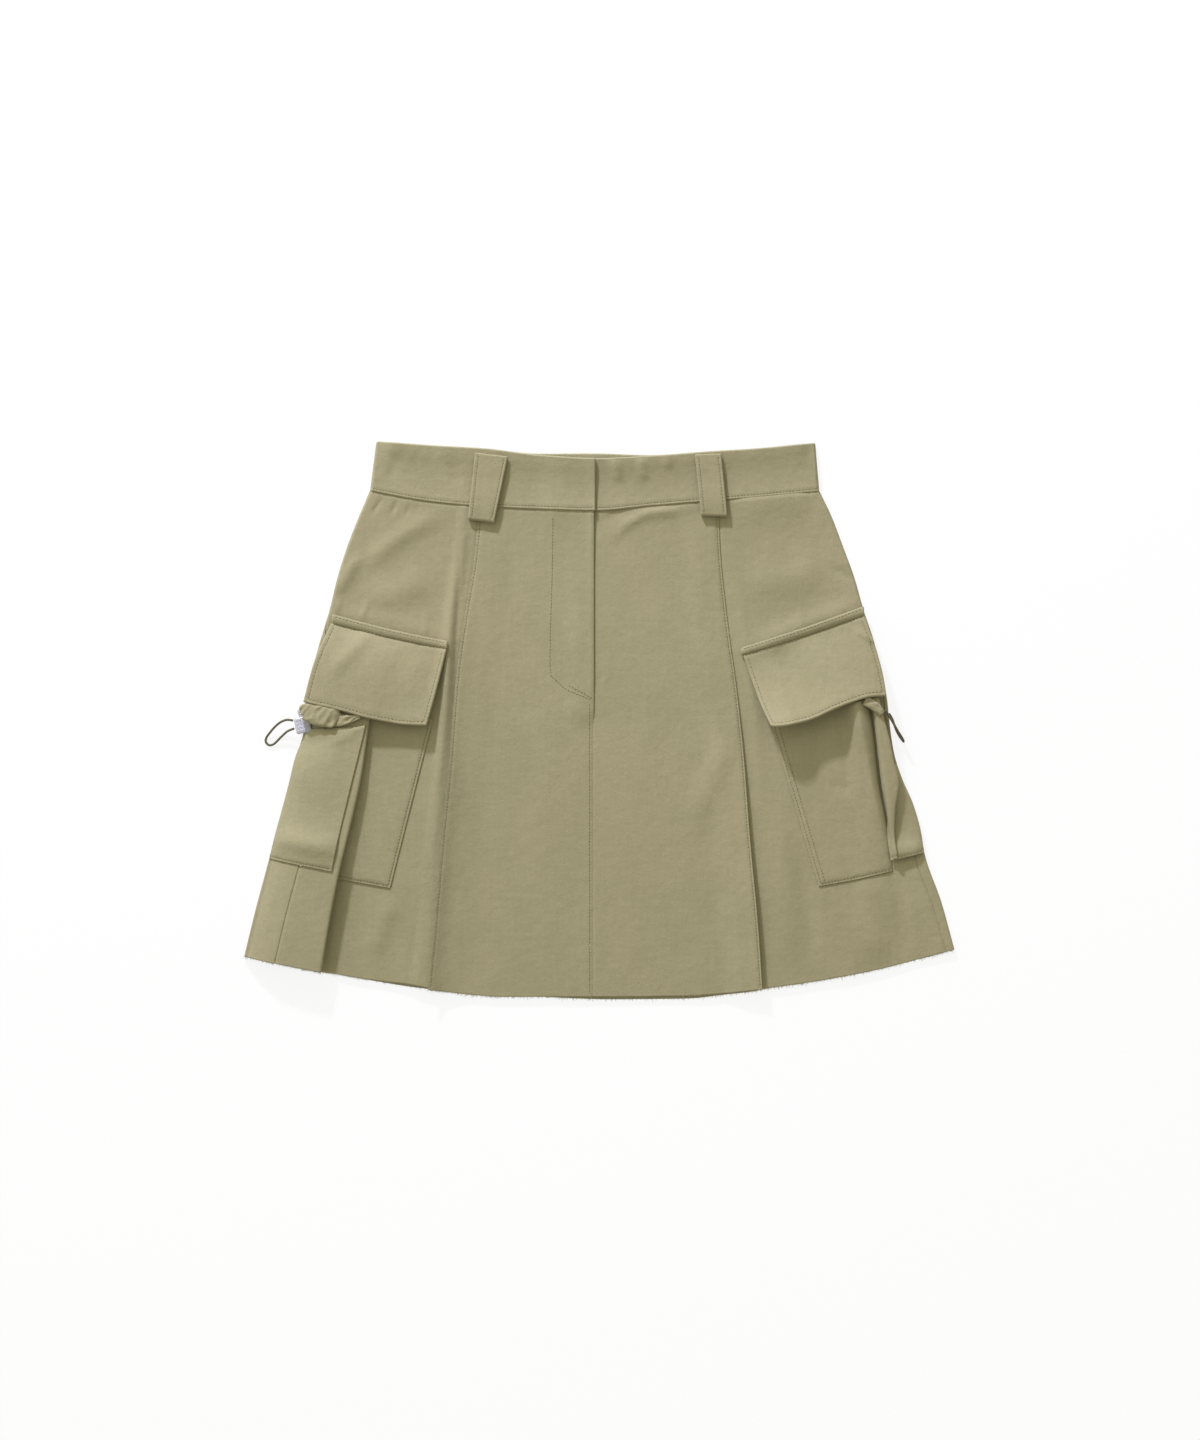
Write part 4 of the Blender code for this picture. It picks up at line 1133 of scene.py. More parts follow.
def tubes(rings: np.ndarray, radii: np.ndarray, turns: int) -> Faces:
    """Make closed tubes through rings of points.

    Args:
        rings: the middles, as tubes x rings x 3.
        radii: the radii, as tubes x rings.
        turns: how many sides a tube has.

    Returns:
        The tubes' points and their faces.
    """
    count, depth = rings.shape[:2]
    run = np.gradient(rings, axis=1)
    run /= np.maximum(np.linalg.norm(run, axis=2, keepdims=True), 1e-9)
    side = np.cross(run, np.array((0.0, 0.0, 1.0)))
    side /= np.maximum(np.linalg.norm(side, axis=2, keepdims=True), 1e-9)
    up = np.cross(side, run)
    angle = np.arange(turns) * 2 * math.pi / turns
    around = side[:, :, None] * np.cos(angle)[:, None] + up[:, :, None] * np.sin(angle)[:, None]
    points = (rings[:, :, None] + around * radii[:, :, None, None]).reshape(-1, 3)
    start = np.arange(count) * depth * turns
    faces = (tube_faces(depth, turns)[None] + start[:, None, None]).reshape(-1, 4)
    fan = np.arange(1, turns - 1)
    near = np.stack([0 * fan, fan + 1, fan], axis=-1)[None] + start[:, None, None]
    far = np.stack([0 * fan, fan, fan + 1], axis=-1)[None] + (start + (depth - 1) * turns)[:, None, None]
    caps = np.concatenate([near.reshape(-1, 3), far.reshape(-1, 3)])
    return points, np.concatenate([faces, np.column_stack([caps, caps[:, 2]])])


@dataclass
class Stitching:
    """The visible stitches of one piece, as real thread."""

    name: str
    pitch: float = 2.5
    seed: int = 1

    def __post_init__(self) -> None:
        """Start with no stitches."""
        self.stitches: list[np.ndarray] = []

    def along(self, line: np.ndarray, start: float = 1.5, end: float = 1.5) -> None:
        """Sew along a line.

        Args:
            line: points on the cloth's face.
            start: how much of the line's start to leave out.
            end: how much of its end to leave out.
        """
        length = line_length(line)
        count = max(1, round((length - start - end) / self.pitch))
        chance = np.random.default_rng(self.seed + len(self.stitches))
        edges = start + (length - start - end) * np.arange(count + 1) / count
        for near, far in zip(edges[:-1], edges[1:]):
            inset = self.pitch * (0.1 + 0.03 * chance.random())
            points = resample(line, mix(near + inset, far - inset, STITCH_PLACES))
            run = points[-1] - points[0]
            sideways = np.array((-run[1], run[0], 0.0)) / max(np.linalg.norm(run), 1e-9)
            points += sideways * np.linspace(-1, 1, 5)[:, None] * STITCH_SLANT * chance.standard_normal()
            points[:, 2] += STITCH_LIFT
            self.stitches.append(points)

    def build(self, material: bpy.types.Material) -> None:
        """Make all the stitches as one object."""
        rings = np.array(self.stitches)
        radii = np.broadcast_to(STITCH_THICKNESS * THREAD_RADIUS, rings.shape[:2])
        fit(make_mesh(self.name, *tubes(rings, radii, STITCH_TURNS), material))
        log.info("%s: %d stitches", self.name, len(rings))


# The skirt's pieces

SKIRT_CREASES = (
    Crease(1.7, 7.0, ((-118.0, 160.0), (-138.0, 150.0), (-153.5, 141.0), (-170.0, 128.0), (-184.0, 114.0))),
    Crease(1.7, 11.0, ((-128.0, 112.0), (-153.0, 98.0), (-182.0, 92.0))),
    Crease(1.5, 5.0, ((-182.0, 130.0), (-196.0, 108.0), (-203.0, 94.0))),
    Crease(-0.9, 2.0, ((-166.6, 170.6), (-175.0, 158.2))),
    Crease(-0.7, 2.0, ((-155.0, 168.2), (-161.0, 157.0))),
    Crease(-0.5, 1.8, ((-146.3, 165.9), (-148.6, 156.4))),
    Crease(1.2, 8.0, ((-209.4, 82.2), (-162.7, 74.5), (-116.0, 62.1))),
    Crease(0.7, 2.2, ((-199.0, 93.0), (-203.5, 81.0))),
    Crease(0.8, 2.2, ((-177.0, 92.0), (-184.3, 76.0))),
    Crease(0.5, 2.2, ((-134.2, 82.5), (-133.4, 64.5))),
    Crease(
        -0.9,
        2.2,
        (
            (-103.5, 150.0),
            (-106.6, 142.0),
            (-109.0, 100.0),
            (-109.4, 84.7),
            (-110.7, 61.6),
            (-111.0, 42.0),
            (-112.8, 15.4),
        ),
    ),
    Crease(
        -0.7, 1.4, ((-119.0, -15.4), (-121.6, -46.0), (-128.0, -77.0), (-133.0, -140.0), (-138.0, -205.0))
    ),
    Crease(-0.6, 1.8, ((-4.0, 22.6), (3.6, 38.0))),
    Crease(0.5, 1.8, ((2.7, 24.9), (6.6, 36.0), (5.4, 52.4))),
    Crease(-0.9, 3.5, ((2.0, 150.0), (10.0, 158.0), (22.0, 163.0))),
    Crease(1.6, 3.6, ((9.9, 138.7), (21.1, 150.5), (36.5, 158.6), (69.8, 162.2))),
    Crease(1.5, 9.0, ((102.0, -10.0), (87.0, -42.0), (73.0, -82.0))),
    Crease(1.6, 15.0, ((98.0, 162.0), (131.4, 169.0), (168.0, 172.0))),
    Crease(1.6, 14.0, ((106.0, 101.0), (139.0, 107.0), (178.0, 116.0))),
    Crease(2.1, 8.0, ((111.9, 52.0), (154.5, 72.0), (206.0, 90.0))),
    Crease(-0.9, 3.0, ((177.0, 117.5), (186.0, 113.5), (196.0, 105.5))),
    Crease(1.1, 9.0, ((136.6, -58.0), (142.2, -123.2), (148.0, -196.0))),
    Crease(-1.1, 7.0, ((153.5, -100.1), (159.2, -138.6), (164.8, -192.0))),
    Crease(2.2, 13.0, ((206.0, -112.0), (210.0, -154.0), (214.8, -192.0))),
    Crease(-1.3, 5.0, ((225.1, -108.0), (231.5, -142.5), (237.2, -182.0))),
    Crease(1.5, 8.0, ((-157.6, -134.6), (-166.6, -157.8), (-176.0, -184.0))),
    Crease(1.8, 26.0, ((-244.0, -36.0), (-212.0, -32.0), (-190.0, -28.0))),
    Crease(-1.1, 18.0, ((-250.0, -68.0), (-215.0, -73.0), (-192.0, -78.0))),
    Crease(-0.8, 4.0, ((-135.0, -118.0), (-139.6, -161.7), (-144.8, -204.0))),
)
POCKET_CREASES = (
    Crease(2.8, 8.0, ((-256.0, -90.0), (-230.5, -93.9), (-196.0, -100.0))),
    Crease(1.4, 4.5, ((-230.0, -13.3), (-219.7, -10.0), (-206.0, -9.0))),
    Crease(0.9, 4.5, ((-207.8, -18.9), (-192.0, -11.6), (-178.0, -2.1))),
    Crease(-0.9, 3.0, ((200.5, -10.0), (202.7, -38.0), (206.0, -75.0))),
    Crease(-0.8, 5.0, ((178.0, -48.0), (193.5, -54.9))),
    Crease(2.6, 8.0, ((222.0, -102.0), (236.2, -100.4), (250.0, -98.0))),
)
BAND_CREASES = (
    Crease(1.5, 2.8, ((11.5, 202.0), (15.0, 182.0))),
    Crease(1.6, 3.0, ((31.5, 203.0), (34.0, 183.0))),
    Crease(1.1, 2.6, ((52.5, 205.3), (52.5, 192.0))),
    Crease(-0.9, 4.0, ((-114.4, 200.7), (-108.0, 178.2))),
    Crease(-0.7, 4.0, ((-155.5, 206.1), (-160.6, 182.8))),
    Crease(0.5, 1.6, ((-144.0, 209.0), (-145.0, 197.0))),
    Crease(0.5, 1.6, ((-133.0, 208.0), (-134.5, 198.0))),
    Crease(0.4, 1.6, ((-122.0, 207.0), (-123.5, 198.0))),
)
ROWS_DOWN = 140
SIDE_STITCH_TOP = -102.0
FLY_CURVE = ((-35.7, 157.8), (-36.4, 111.7), (-38.0, 42.4), (-33.3, 30.8), (-24.1, 23.1), (-5.6, 15.4))
FLY_TACK = ((-24.1, 26.9), (-5.6, 16.9))
FLY_FOOT = 16.0
DROP_FROM = 60.0
DROP_STEP = 1.5
SETTLE_FROM = 0.5
SETTLE_LOW = -0.9
SETTLE_LIFT = 0.25
SETTLE_FLOOR = 1.9


def settle(grid: np.ndarray, creases: tuple[Crease, ...] = SKIRT_CREASES, amount: float = 1.0) -> np.ndarray:
    """Lay a grid's upper layers in soft folds and leave what lies on the surface flat.

    Args:
        grid: rows and columns of points.
        creases: the listed folds.
        amount: how uneven the cloth lies.

    Returns:
        The grid with its new heights.
    """
    share = ease(grid[:, :, 2] - BACK_LEVEL - SETTLE_FROM)
    lift = relief(creases, grid[:, :, 0], grid[:, :, 1], amount) + SETTLE_LIFT
    lift = np.maximum(lift, np.maximum(SETTLE_LOW, SETTLE_FLOOR - grid[:, :, 2]))
    laid = grid.copy()
    laid[:, :, 2] += lift * share
    return laid


def laid_grid(section: Section, downs: np.ndarray) -> np.ndarray:
    """Stack the sections of a piece at its levels.

    Args:
        section: the function that gives the x and z of one level's points.
        downs: the levels.

    Returns:
        The grid of points.
    """
    rows = []
    for down in downs:
        points = section(float(down))
        rows.append(np.column_stack([points[:, 0], level_y(points[:, 0], down), points[:, 1]]))
    return np.array(rows)


def slanted_grid(section: Section, tops: tuple[float, float], bottom: float, count: int) -> np.ndarray:
    """Stack the sections of a piece whose top edge slants from its first column to its last.

    Args:
        section: the function that gives the x and z of one level's points.
        tops: the levels of the top edge's two ends.
        bottom: the level of the bottom edge.
        count: how many rows it has.

    Returns:
        The grid of points.
    """
    downs = np.linspace(min(tops), bottom, 2 * count)
    stack = laid_grid(section, downs)
    columns = stack.shape[1]
    rows = np.empty((count, columns, 3))
    for j, top in enumerate(np.linspace(*tops, columns)):
        places = edged(top, bottom, count - 2 * len(EDGE_STEPS))
        for k in range(3):
            rows[:, j, k] = np.interp(places, downs, stack[:, j, k])
    return rows


@dataclass
class Panels:
    """The five panels of the skirt, with their seams and hem."""

    twill: bpy.types.Material
    thread: bpy.types.Material
    yarn: bpy.types.Material

    def build(self) -> None:
        """Make the panels, their topstitching and the frayed hem."""
        downs = edged(SEAM_GAP, SKIRT_LENGTH, ROWS_DOWN)
        seam, raw, fold, pressed = Edge.SEAM, Edge.RAW, Edge.FOLD, Edge.PRESSED
        plans = (
            ("back", back_section, (seam, raw, seam, seam), ()),
            ("front_side_left", front_side_left_section, (seam, raw, seam, raw), ("back",)),
            ("front_side_right", front_side_right_section, (seam, raw, raw, seam), ("back",)),
            ("front_centre_left", centre_left_section, (seam, raw, pressed, seam), ("front_side_left",)),
            ("front_centre_right", centre_right_section, (seam, raw, fold, pressed), ("front_side_right",)),
        )
        self.cloths: dict[str, Cloth] = {}
        for seed, (name, section, edges, rests_on) in enumerate(plans):
            grid = settle(laid_grid(section, downs))
            if name in HEM_DROPS:
                share = ease((downs - HEM_DROP_FROM) / (SKIRT_LENGTH - HEM_DROP_FROM))[:, None]
                grid[:, :, 1] -= HEM_DROPS[name].at("drop", grid[:, :, 0]) * share
            cloth = Cloth(name, grid, CLOTH, edges, stitched=1.4, seed=seed + 2)
            self.cloths[name] = cloth
            finish_cloth(cloth, self.twill)
        self.sew()
        self.fray()

    def sew(self) -> None:
        """Sew the princess edges, the centre front, the fly and the tack at its foot."""
        left, right = self.cloths["front_centre_left"], self.cloths["front_centre_right"]
        seams = Stitching("princess_topstitching", seed=11)
        seams.along(left.beside(Side.FIRST, left.stitched), 6.0, 3.0)
        seams.along(right.beside(Side.LAST, right.stitched), 6.0, 3.0)
        beside_seam = self.cloths["back"].beside(Side.LAST, 3.8)
        seams.along(beside_seam[beside_seam[:, 1] < SIDE_STITCH_TOP], 0.5, 3.0)
        seams.build(self.thread)

        fly = Stitching("fly_topstitching", seed=23)
        edge = left.beside(Side.LAST, 3.2)
        fly.along(edge[edge[:, 1] < FLY_FOOT], 1.0, 3.0)
        tree = surface_tree(left)
        fly.along(dropped(tree, FLY_CURVE), 2.0, 1.0)
        fly.along(dropped(tree, FLY_TACK), 0.0, 0.0)
        fly.build(self.thread)

    def fray(self) -> None:
        """Leave the raw hem's loose threads on."""
        fringe = Fringe("hem_fringe", seed=5)
        fringe.along(self.cloths["back"], 0.5)
        for name in ("side_left", "centre_left", "centre_right", "side_right"):
            fringe.along(self.cloths[f"front_{name}"], 1.0)
        fringe.build(self.yarn)


def surface_tree(cloth: Cloth) -> BVHTree:
    """Gather the faces of a piece for dropping lines onto it."""
    faces = grid_faces(*cloth.grid.shape[:2])
    return BVHTree.FromPolygons(cloth.face().reshape(-1, 3).tolist(), faces.tolist())


def dropped(tree: BVHTree, path: tuple[tuple[float, float], ...]) -> np.ndarray:
    """Drop a smooth line onto the cloth below it.

    Args:
        tree: the cloth's faces.
        path: the line's points (x, y).

    Returns:
        The points on the cloth.
    """
    route = smooth_route(tuple((x, y, DROP_FROM) for x, y in path), 8)
    length = line_length(route)
    points = []
    for point in resample(route, np.linspace(0.0, length, max(2, round(length / DROP_STEP)))):
        hit = tree.ray_cast(Vector(point), Vector((0.0, 0.0, -1.0)))[0]
        if hit is not None:
            points.append(tuple(hit))
    return np.array(points)


def smooth_route(points: Route, per_span: int) -> np.ndarray:
    """Run a smooth curve through a line's points.

    Args:
        points: the points that it runs through.
        per_span: how many points to make between two of them.

    Returns:
        The points of the curve.
    """
    route = np.array(points, float)
    ends = np.concatenate([[2 * route[0] - route[1]], route, [2 * route[-1] - route[-2]]])
    t = (np.arange(per_span) / per_span)[:, None]
    spans = []
    for before, start, end, after in zip(ends, ends[1:], ends[2:], ends[3:]):
        spans.append(
            0.5
            * (
                2 * start
                + (end - before) * t
                + (2 * before - 5 * start + 4 * end - after) * t**2
                + (3 * start - before - 3 * end + after) * t**3
            )
        )
    return np.concatenate([*spans, route[-1:]])


FRINGE_TAPER = np.array((1.0, 1.0, 0.95, 0.8, 0.3))
FRAY_PATCH = 14.0
FRAY_LEAST = 0.6
FRAY_MORE = 1.1
FRAY_STRAY = 1.8
FRAY_TAME = 0.97
FRAY_SLANT = 0.35
FRAY_SPLIT = 0.35
FRAY_BEND = 0.4
FRAY_ROOT = -0.6
FRAY_DROOP = 0.4
FRAY_LOWEST = 0.2
FRAY_RADII = (0.11, 0.2)


@dataclass
class Fringe:
    """Loose threads along a raw edge."""

    name: str
    seed: int = 1
    spacing: float = 0.5

    def __post_init__(self) -> None:
        """Start with no threads."""
        self.threads: list[np.ndarray] = []
        self.sizes: list[float] = []
        self.chance = np.random.default_rng(self.seed)

    def along(self, cloth: Cloth, share: float) -> None:
        """Fray a piece's bottom edge.

        Args:
            cloth: the piece.
            share: how much of the usual fringe it has.
        """
        edge = cloth.grid[-1]
        outward = cloth.grid[-1] - cloth.grid[-3]
        outward /= np.linalg.norm(outward, axis=1)[:, None]
        for place in np.arange(0.5, line_length(edge) - 0.5, self.spacing / share):
            start = resample(edge, np.array([place + 0.4 * self.chance.standard_normal()]))[0]
            nearest = int(np.argmin(np.linalg.norm(edge - start, axis=1)))
            patch = 0.5 + 0.5 * float(soft_noise(np.array(place / FRAY_PATCH), np.array(0.5), self.seed))
            reach = (FRAY_LEAST + FRAY_MORE * patch) * (0.5 + self.chance.random())
            reach += FRAY_STRAY * (self.chance.random() > FRAY_TAME)
            side = np.array((outward[nearest][1], -outward[nearest][0], 0.0))
            run = outward[nearest] + side * self.chance.normal(0.0, FRAY_SLANT)
            start = start + np.array((0.0, 0.0, self.chance.uniform(-FRAY_SPLIT, FRAY_SPLIT)))
            bend = np.array((self.chance.normal(0.0, FRAY_BEND), self.chance.normal(0.0, FRAY_BEND), 0.0))
            t = np.linspace(FRAY_ROOT, 1.0, len(FRINGE_TAPER))[:, None]
            thread = start + run * reach * t + bend * t**2
            droop = 0.5 * np.maximum(t[:, 0], 0.0) ** 2 * reach * FRAY_DROOP
            thread[:, 2] = np.maximum(thread[:, 2] - droop, FRAY_LOWEST)
            self.threads.append(thread)
            self.sizes.append(self.chance.uniform(*FRAY_RADII))

    def build(self, material: bpy.types.Material) -> None:
        """Make all the threads as one object."""
        radii = np.array(self.sizes)[:, None] * FRINGE_TAPER
        fit(make_mesh(self.name, *tubes(np.array(self.threads), radii, 4), material))
        log.info("%s: %d threads", self.name, len(radii))


BAND_DEPTH = 38.0
BAND_ROWS = edged(BAND_DEPTH, SEAM_GAP, 10) / BAND_DEPTH


@dataclass
class Waistband:
    """The waistband's back and its two fronts, which lap at the fly."""

    twill: bpy.types.Material
    thread: bpy.types.Material

    def fold(self, side: int, turns: np.ndarray) -> np.ndarray:
        """Find x and z round a side fold for some turns."""
        radius = (BAND_FRONT_LEVEL - BAND_BACK_LEVEL) / 2
        centre = side_x(side, 0) - side * (BAND_WALL / 2 + radius)
        x = centre + side * radius * np.sin(turns)
        return flat_run(x, BAND_BACK_LEVEL + radius * (1 - np.cos(turns)))

    def grid(self, section: np.ndarray, top: str) -> np.ndarray:
        """Raise a section into the band's rows, from its top edge to its seam.

        Args:
            section: x and z across the band.
            top: the column of WAIST with its top edge.

        Returns:
            The grid of points.
        """
        x, z = section.T
        half_seam = half_width(x, 0)
        half_top = np.where(x < CENTRE_FRONT, *BAND_HALF_TOP)
        across = (x - CENTRE_FRONT) / half_seam
        rows = []
        for share in BAND_ROWS:
            y = mix(WAIST.at("seam", across), WAIST.at(top, across), share)
            rows.append(np.column_stack([CENTRE_FRONT + across * mix(half_seam, half_top, share), y, z]))
        return np.array(rows)

    def build(self) -> None:
        """Make the three parts, with the topstitching above the seam."""
        quarter = np.linspace(0.0, math.pi / 2 - BAND_SEAM_TURN, 8)
        three_quarter = np.linspace(math.pi / 2 + BAND_SEAM_TURN, math.pi, 8)
        left_back, right_back = self.fold(-1, quarter), self.fold(1, quarter)
        flat = flat_run(np.linspace(left_back[0, 0], right_back[0, 0], 70)[1:-1], BAND_BACK_LEVEL)
        back = np.concatenate([left_back[::-1], flat, right_back])

        left_front = self.fold(-1, three_quarter)
        x = edged(left_front[-1, 0], BAND_LAP_END, 66)[1:]
        left = np.concatenate([left_front, flat_run(x, BAND_FRONT_LEVEL + band_climb(x))])

        right_front = self.fold(1, three_quarter)
        x = edged(BAND_LAP_END - BAND_LAP, right_front[-1, 0], 70)[:-1]
        right = np.concatenate([flat_run(x, BAND_FRONT_LEVEL), right_front[::-1]])

        stitches = Stitching("waistband_topstitching", seed=31)
        seam, turned, fold = Edge.SEAM, Edge.TURNED, Edge.FOLD
        for name, section, top, edges in (
            ("waistband_back", back, "back_top", (fold, seam, seam, seam)),
            ("waistband_front_left", left, "top", (fold, turned, seam, fold)),
            ("waistband_front_right", right, "top", (fold, turned, fold, seam)),
        ):
            grid = settle(self.grid(section, top), BAND_CREASES, 0.7)
            if name != "waistband_back":
                folded = grid[:, :1, 0] if name.endswith("left") else grid[:, -1:, 0]
                inside = ease((np.abs(grid[:, :, 0] - folded) - BAND_FOLD_HELD) / BAND_FOLD_REACH)
                grid[:, :, 2] += BAND_LEAN.at("lift", BAND_ROWS[:, None]) * inside
            cloth = Cloth(name, grid, BAND_WALL, edges, stitched=2.0, turning=3.2, seed=len(name))
            finish_cloth(cloth, self.twill)
            if name != "waistband_back":
                stitches.along(cloth.beside(Side.BOTTOM, cloth.stitched), 2.0, 2.0)
        stitches.build(self.thread)


@dataclass
class BeltLoop:
    """A belt loop over the waistband, its foot folded under into the seam."""

    name: str
    top_left: tuple[float, float]
    top_right: tuple[float, float]
    bottom_left: tuple[float, float]
    bottom_right: tuple[float, float]

    def build(self, twill: bpy.types.Material, stitches: Stitching) -> None:
        """Make the loop and sew along its long edges.

        Args:
            twill: its cloth.
            stitches: the thread that it is sewn with.
        """
        length = self.top_left[1] - self.bottom_left[1]
        shares = edged(0.0, LOOP_FLAT * length, 18) / length
        profile = [(share, float(LOOP_PROFILE.at("level", share))) for share in shares]
        foot = profile[-1][1]
        for turn in np.linspace(0.0, math.pi, 9)[1:]:
            share = LOOP_FOOT + LOOP_ROLL * math.sin(turn) / length
            profile.append((share, foot - LOOP_ROLL * (1 - math.cos(turn))))
        profile.append((LOOP_FOOT - LOOP_RETURN, foot - 2 * LOOP_ROLL))
        corners = (self.top_left, self.top_right, self.bottom_left, self.bottom_right)
        top_left, top_right, bottom_left, bottom_right = (np.array(corner) for corner in corners)
        across = shares_of(float(np.linalg.norm(top_right - top_left)), 4)[:, None]
        rows = []
        for share, level in profile:
            line = mix(mix(top_left, bottom_left, share), mix(top_right, bottom_right, share), across)
            rows.append(np.column_stack([line, np.full(len(line), level)]))
        grid = settle(np.array(rows), (), 0.7)
        edges = (Edge.FOLD, Edge.SEAM, Edge.TURNED, Edge.TURNED)
        cloth = Cloth(self.name, grid, LOOP_WALL, edges, stitched=2.2, turning=3.4, seed=len(self.name))
        finish_cloth(cloth, twill)
        for side in (Side.FIRST, Side.LAST):
            line = cloth.beside(side, cloth.stitched)
            stitches.along(line[: len(shares)], 1.2, 1.0)


@dataclass
class Flap:
    """A pocket flap and the strip above it."""

    side: int
    strip: tuple[tuple[float, float, float], tuple[float, float, float]]
    left_side: Table
    right_side: Table
    bottom: Table
    creases: tuple[Crease, ...]

    def on_panel(self, x: np.ndarray, downs: np.ndarray) -> np.ndarray:
        """Find the height at which the flap's middle rests on the panel."""
        levels = [float(side_front(self.side, float(a), float(b))) for a, b in zip(x, downs)]
        return np.array(levels) + CLOTH / 2 + STRIP_CLEARANCE + FLAP_WALL / 2

    def strip_grid(self) -> np.ndarray:
        """Lay out the strip in rows down and columns across.

        Returns:
            The grid of points.
        """
        (x0, top0, bottom0), (x1, top1, bottom1) = self.strip
        across = shares_of(STRIP_LENGTH, 34)
        x = mix(x0, x1, across)
        rows = []
        for share in STRIP_ROWS:
            down = mix(mix(top0, top1, across), mix(bottom0, bottom1, across) - SEAM_GAP, share)
            z = self.on_panel(x, down) + STRIP_CROWN * math.sin(share * math.pi)
            rows.append(np.column_stack([x, level_y(x, down), z]))
        return np.array(rows)

    def row(self, share: float, across: np.ndarray) -> tuple[np.ndarray, np.ndarray]:
        """Find x and the levels of one row of the flap."""
        left, right = self.left_side, self.right_side
        down = mix(left.at("down", share), right.at("down", share), across)
        return mix(left.at("x", share), right.at("x", share), across), down

    def flap_grid(self) -> np.ndarray:
        """Lay out the flap in rows down and columns across.

        Returns:
            The grid of points.
        """
        across = shares_of(FLAP_WIDTH, 36)
        hinge = self.on_panel(*self.row(0.0, across))
        rows = []
        for share in shares_of(FLAP_DEPTH, 24):
            x, down = self.row(share, across)
            down = down + self.bottom.at("sag", across) * share
            sprung = mix(1 - (1 - share) ** FLAP_SPRING, share**FLAP_LAG, self.bottom.at("lag", across))
            z = mix(hinge, self.bottom.at("level", across), sprung)
            rows.append(np.column_stack([x, level_y(x, down), z]))
        return np.array(rows)

    def build(self, twill: bpy.types.Material, stitches: Stitching) -> None:
        """Make the flap and its strip, and sew both.

        Args:
            twill: their cloth.
            stitches: the thread that they are sewn with.
        """
        word = word_of(self.side)
        strip = Cloth(f"flap_strip_{word}", settle(self.strip_grid()), FLAP_WALL, (Edge.FOLD,) * 4, seed=41)
        finish_cloth(strip, twill)
        stitches.along(strip.beside(Side.TOP, 1.5), 1.5, 1.5)
        stitches.along(strip.beside(Side.BOTTOM, 1.3), 1.5, 1.5)

        grid = settle(self.flap_grid())
        grid[:, :, 2] += relief(self.creases, grid[:, :, 0], grid[:, :, 1], 0.5)
        edges = (Edge.SEAM, Edge.TURNED, Edge.TURNED, Edge.TURNED)
        flap = Cloth(f"flap_{word}", grid, FLAP_WALL, edges, stitched=2.6, seed=43)
        finish_cloth(flap, twill)
        for side in (Side.FIRST, Side.BOTTOM, Side.LAST):
            stitches.along(flap.beside(side, flap.stitched), 2.6, 2.6)


@dataclass
class Pockets:
    """Both cargo pockets, which stand open at their outer sides."""

    twill: bpy.types.Material
    thread: bpy.types.Material

    def build(self) -> None:
        """Make the pockets' halves and the right one's gusset, and sew them."""
        pressed, turned, seam, fold = Edge.PRESSED, Edge.TURNED, Edge.SEAM, Edge.FOLD
        left = laid_grid(front_left_section, edged(POCKET_TOP, FRONT_BOTTOM, 46))
        right = laid_grid(front_right_section, edged(POCKET_TOP + 1.0, FRONT_BOTTOM + 2.0, 46))
        gusset = laid_grid(gusset_section, edged(POCKET_TOP + 1.0, GUSSET_BOTTOM, 44))
        outer_left = slanted_grid(outer_left_section, OUTER_LEFT_TOPS, OUTER_BOTTOM, 60)
        outer_right = laid_grid(outer_right_section, edged(OUTER_RIGHT_TOP, GUSSET_BOTTOM + 1.0, 22))
        plans = (
            ("outer_left", outer_left, (seam, pressed, seam, fold)),
            ("front_left", left, (seam, pressed, seam, pressed)),
            ("front_right", right, (seam, pressed, pressed, seam)),
            ("gusset_right", gusset, (seam, turned, seam, fold)),
            ("outer_right", outer_right, (seam, turned, seam, seam)),
        )
        stitches = Stitching("pocket_stitching", seed=51)
        for seed, (name, grid, edges) in enumerate(plans):
            laid = settle(grid, SKIRT_CREASES + POCKET_CREASES)
            cloth = Cloth(f"pocket_{name}", laid, CLOTH, edges, stitched=1.9, turning=6.0, seed=60 + seed)
            finish_cloth(cloth, self.twill)
            for side, edge in zip(Side, edges):
                if edge in (turned, pressed):
                    stitches.along(cloth.beside(side, cloth.stitched), 1.9, 1.9)
            if name == "front_right":
                stitches.along(cloth.beside(Side.FIRST, SECOND_ROW), 3.0, 3.0)
        stitches.build(self.thread)


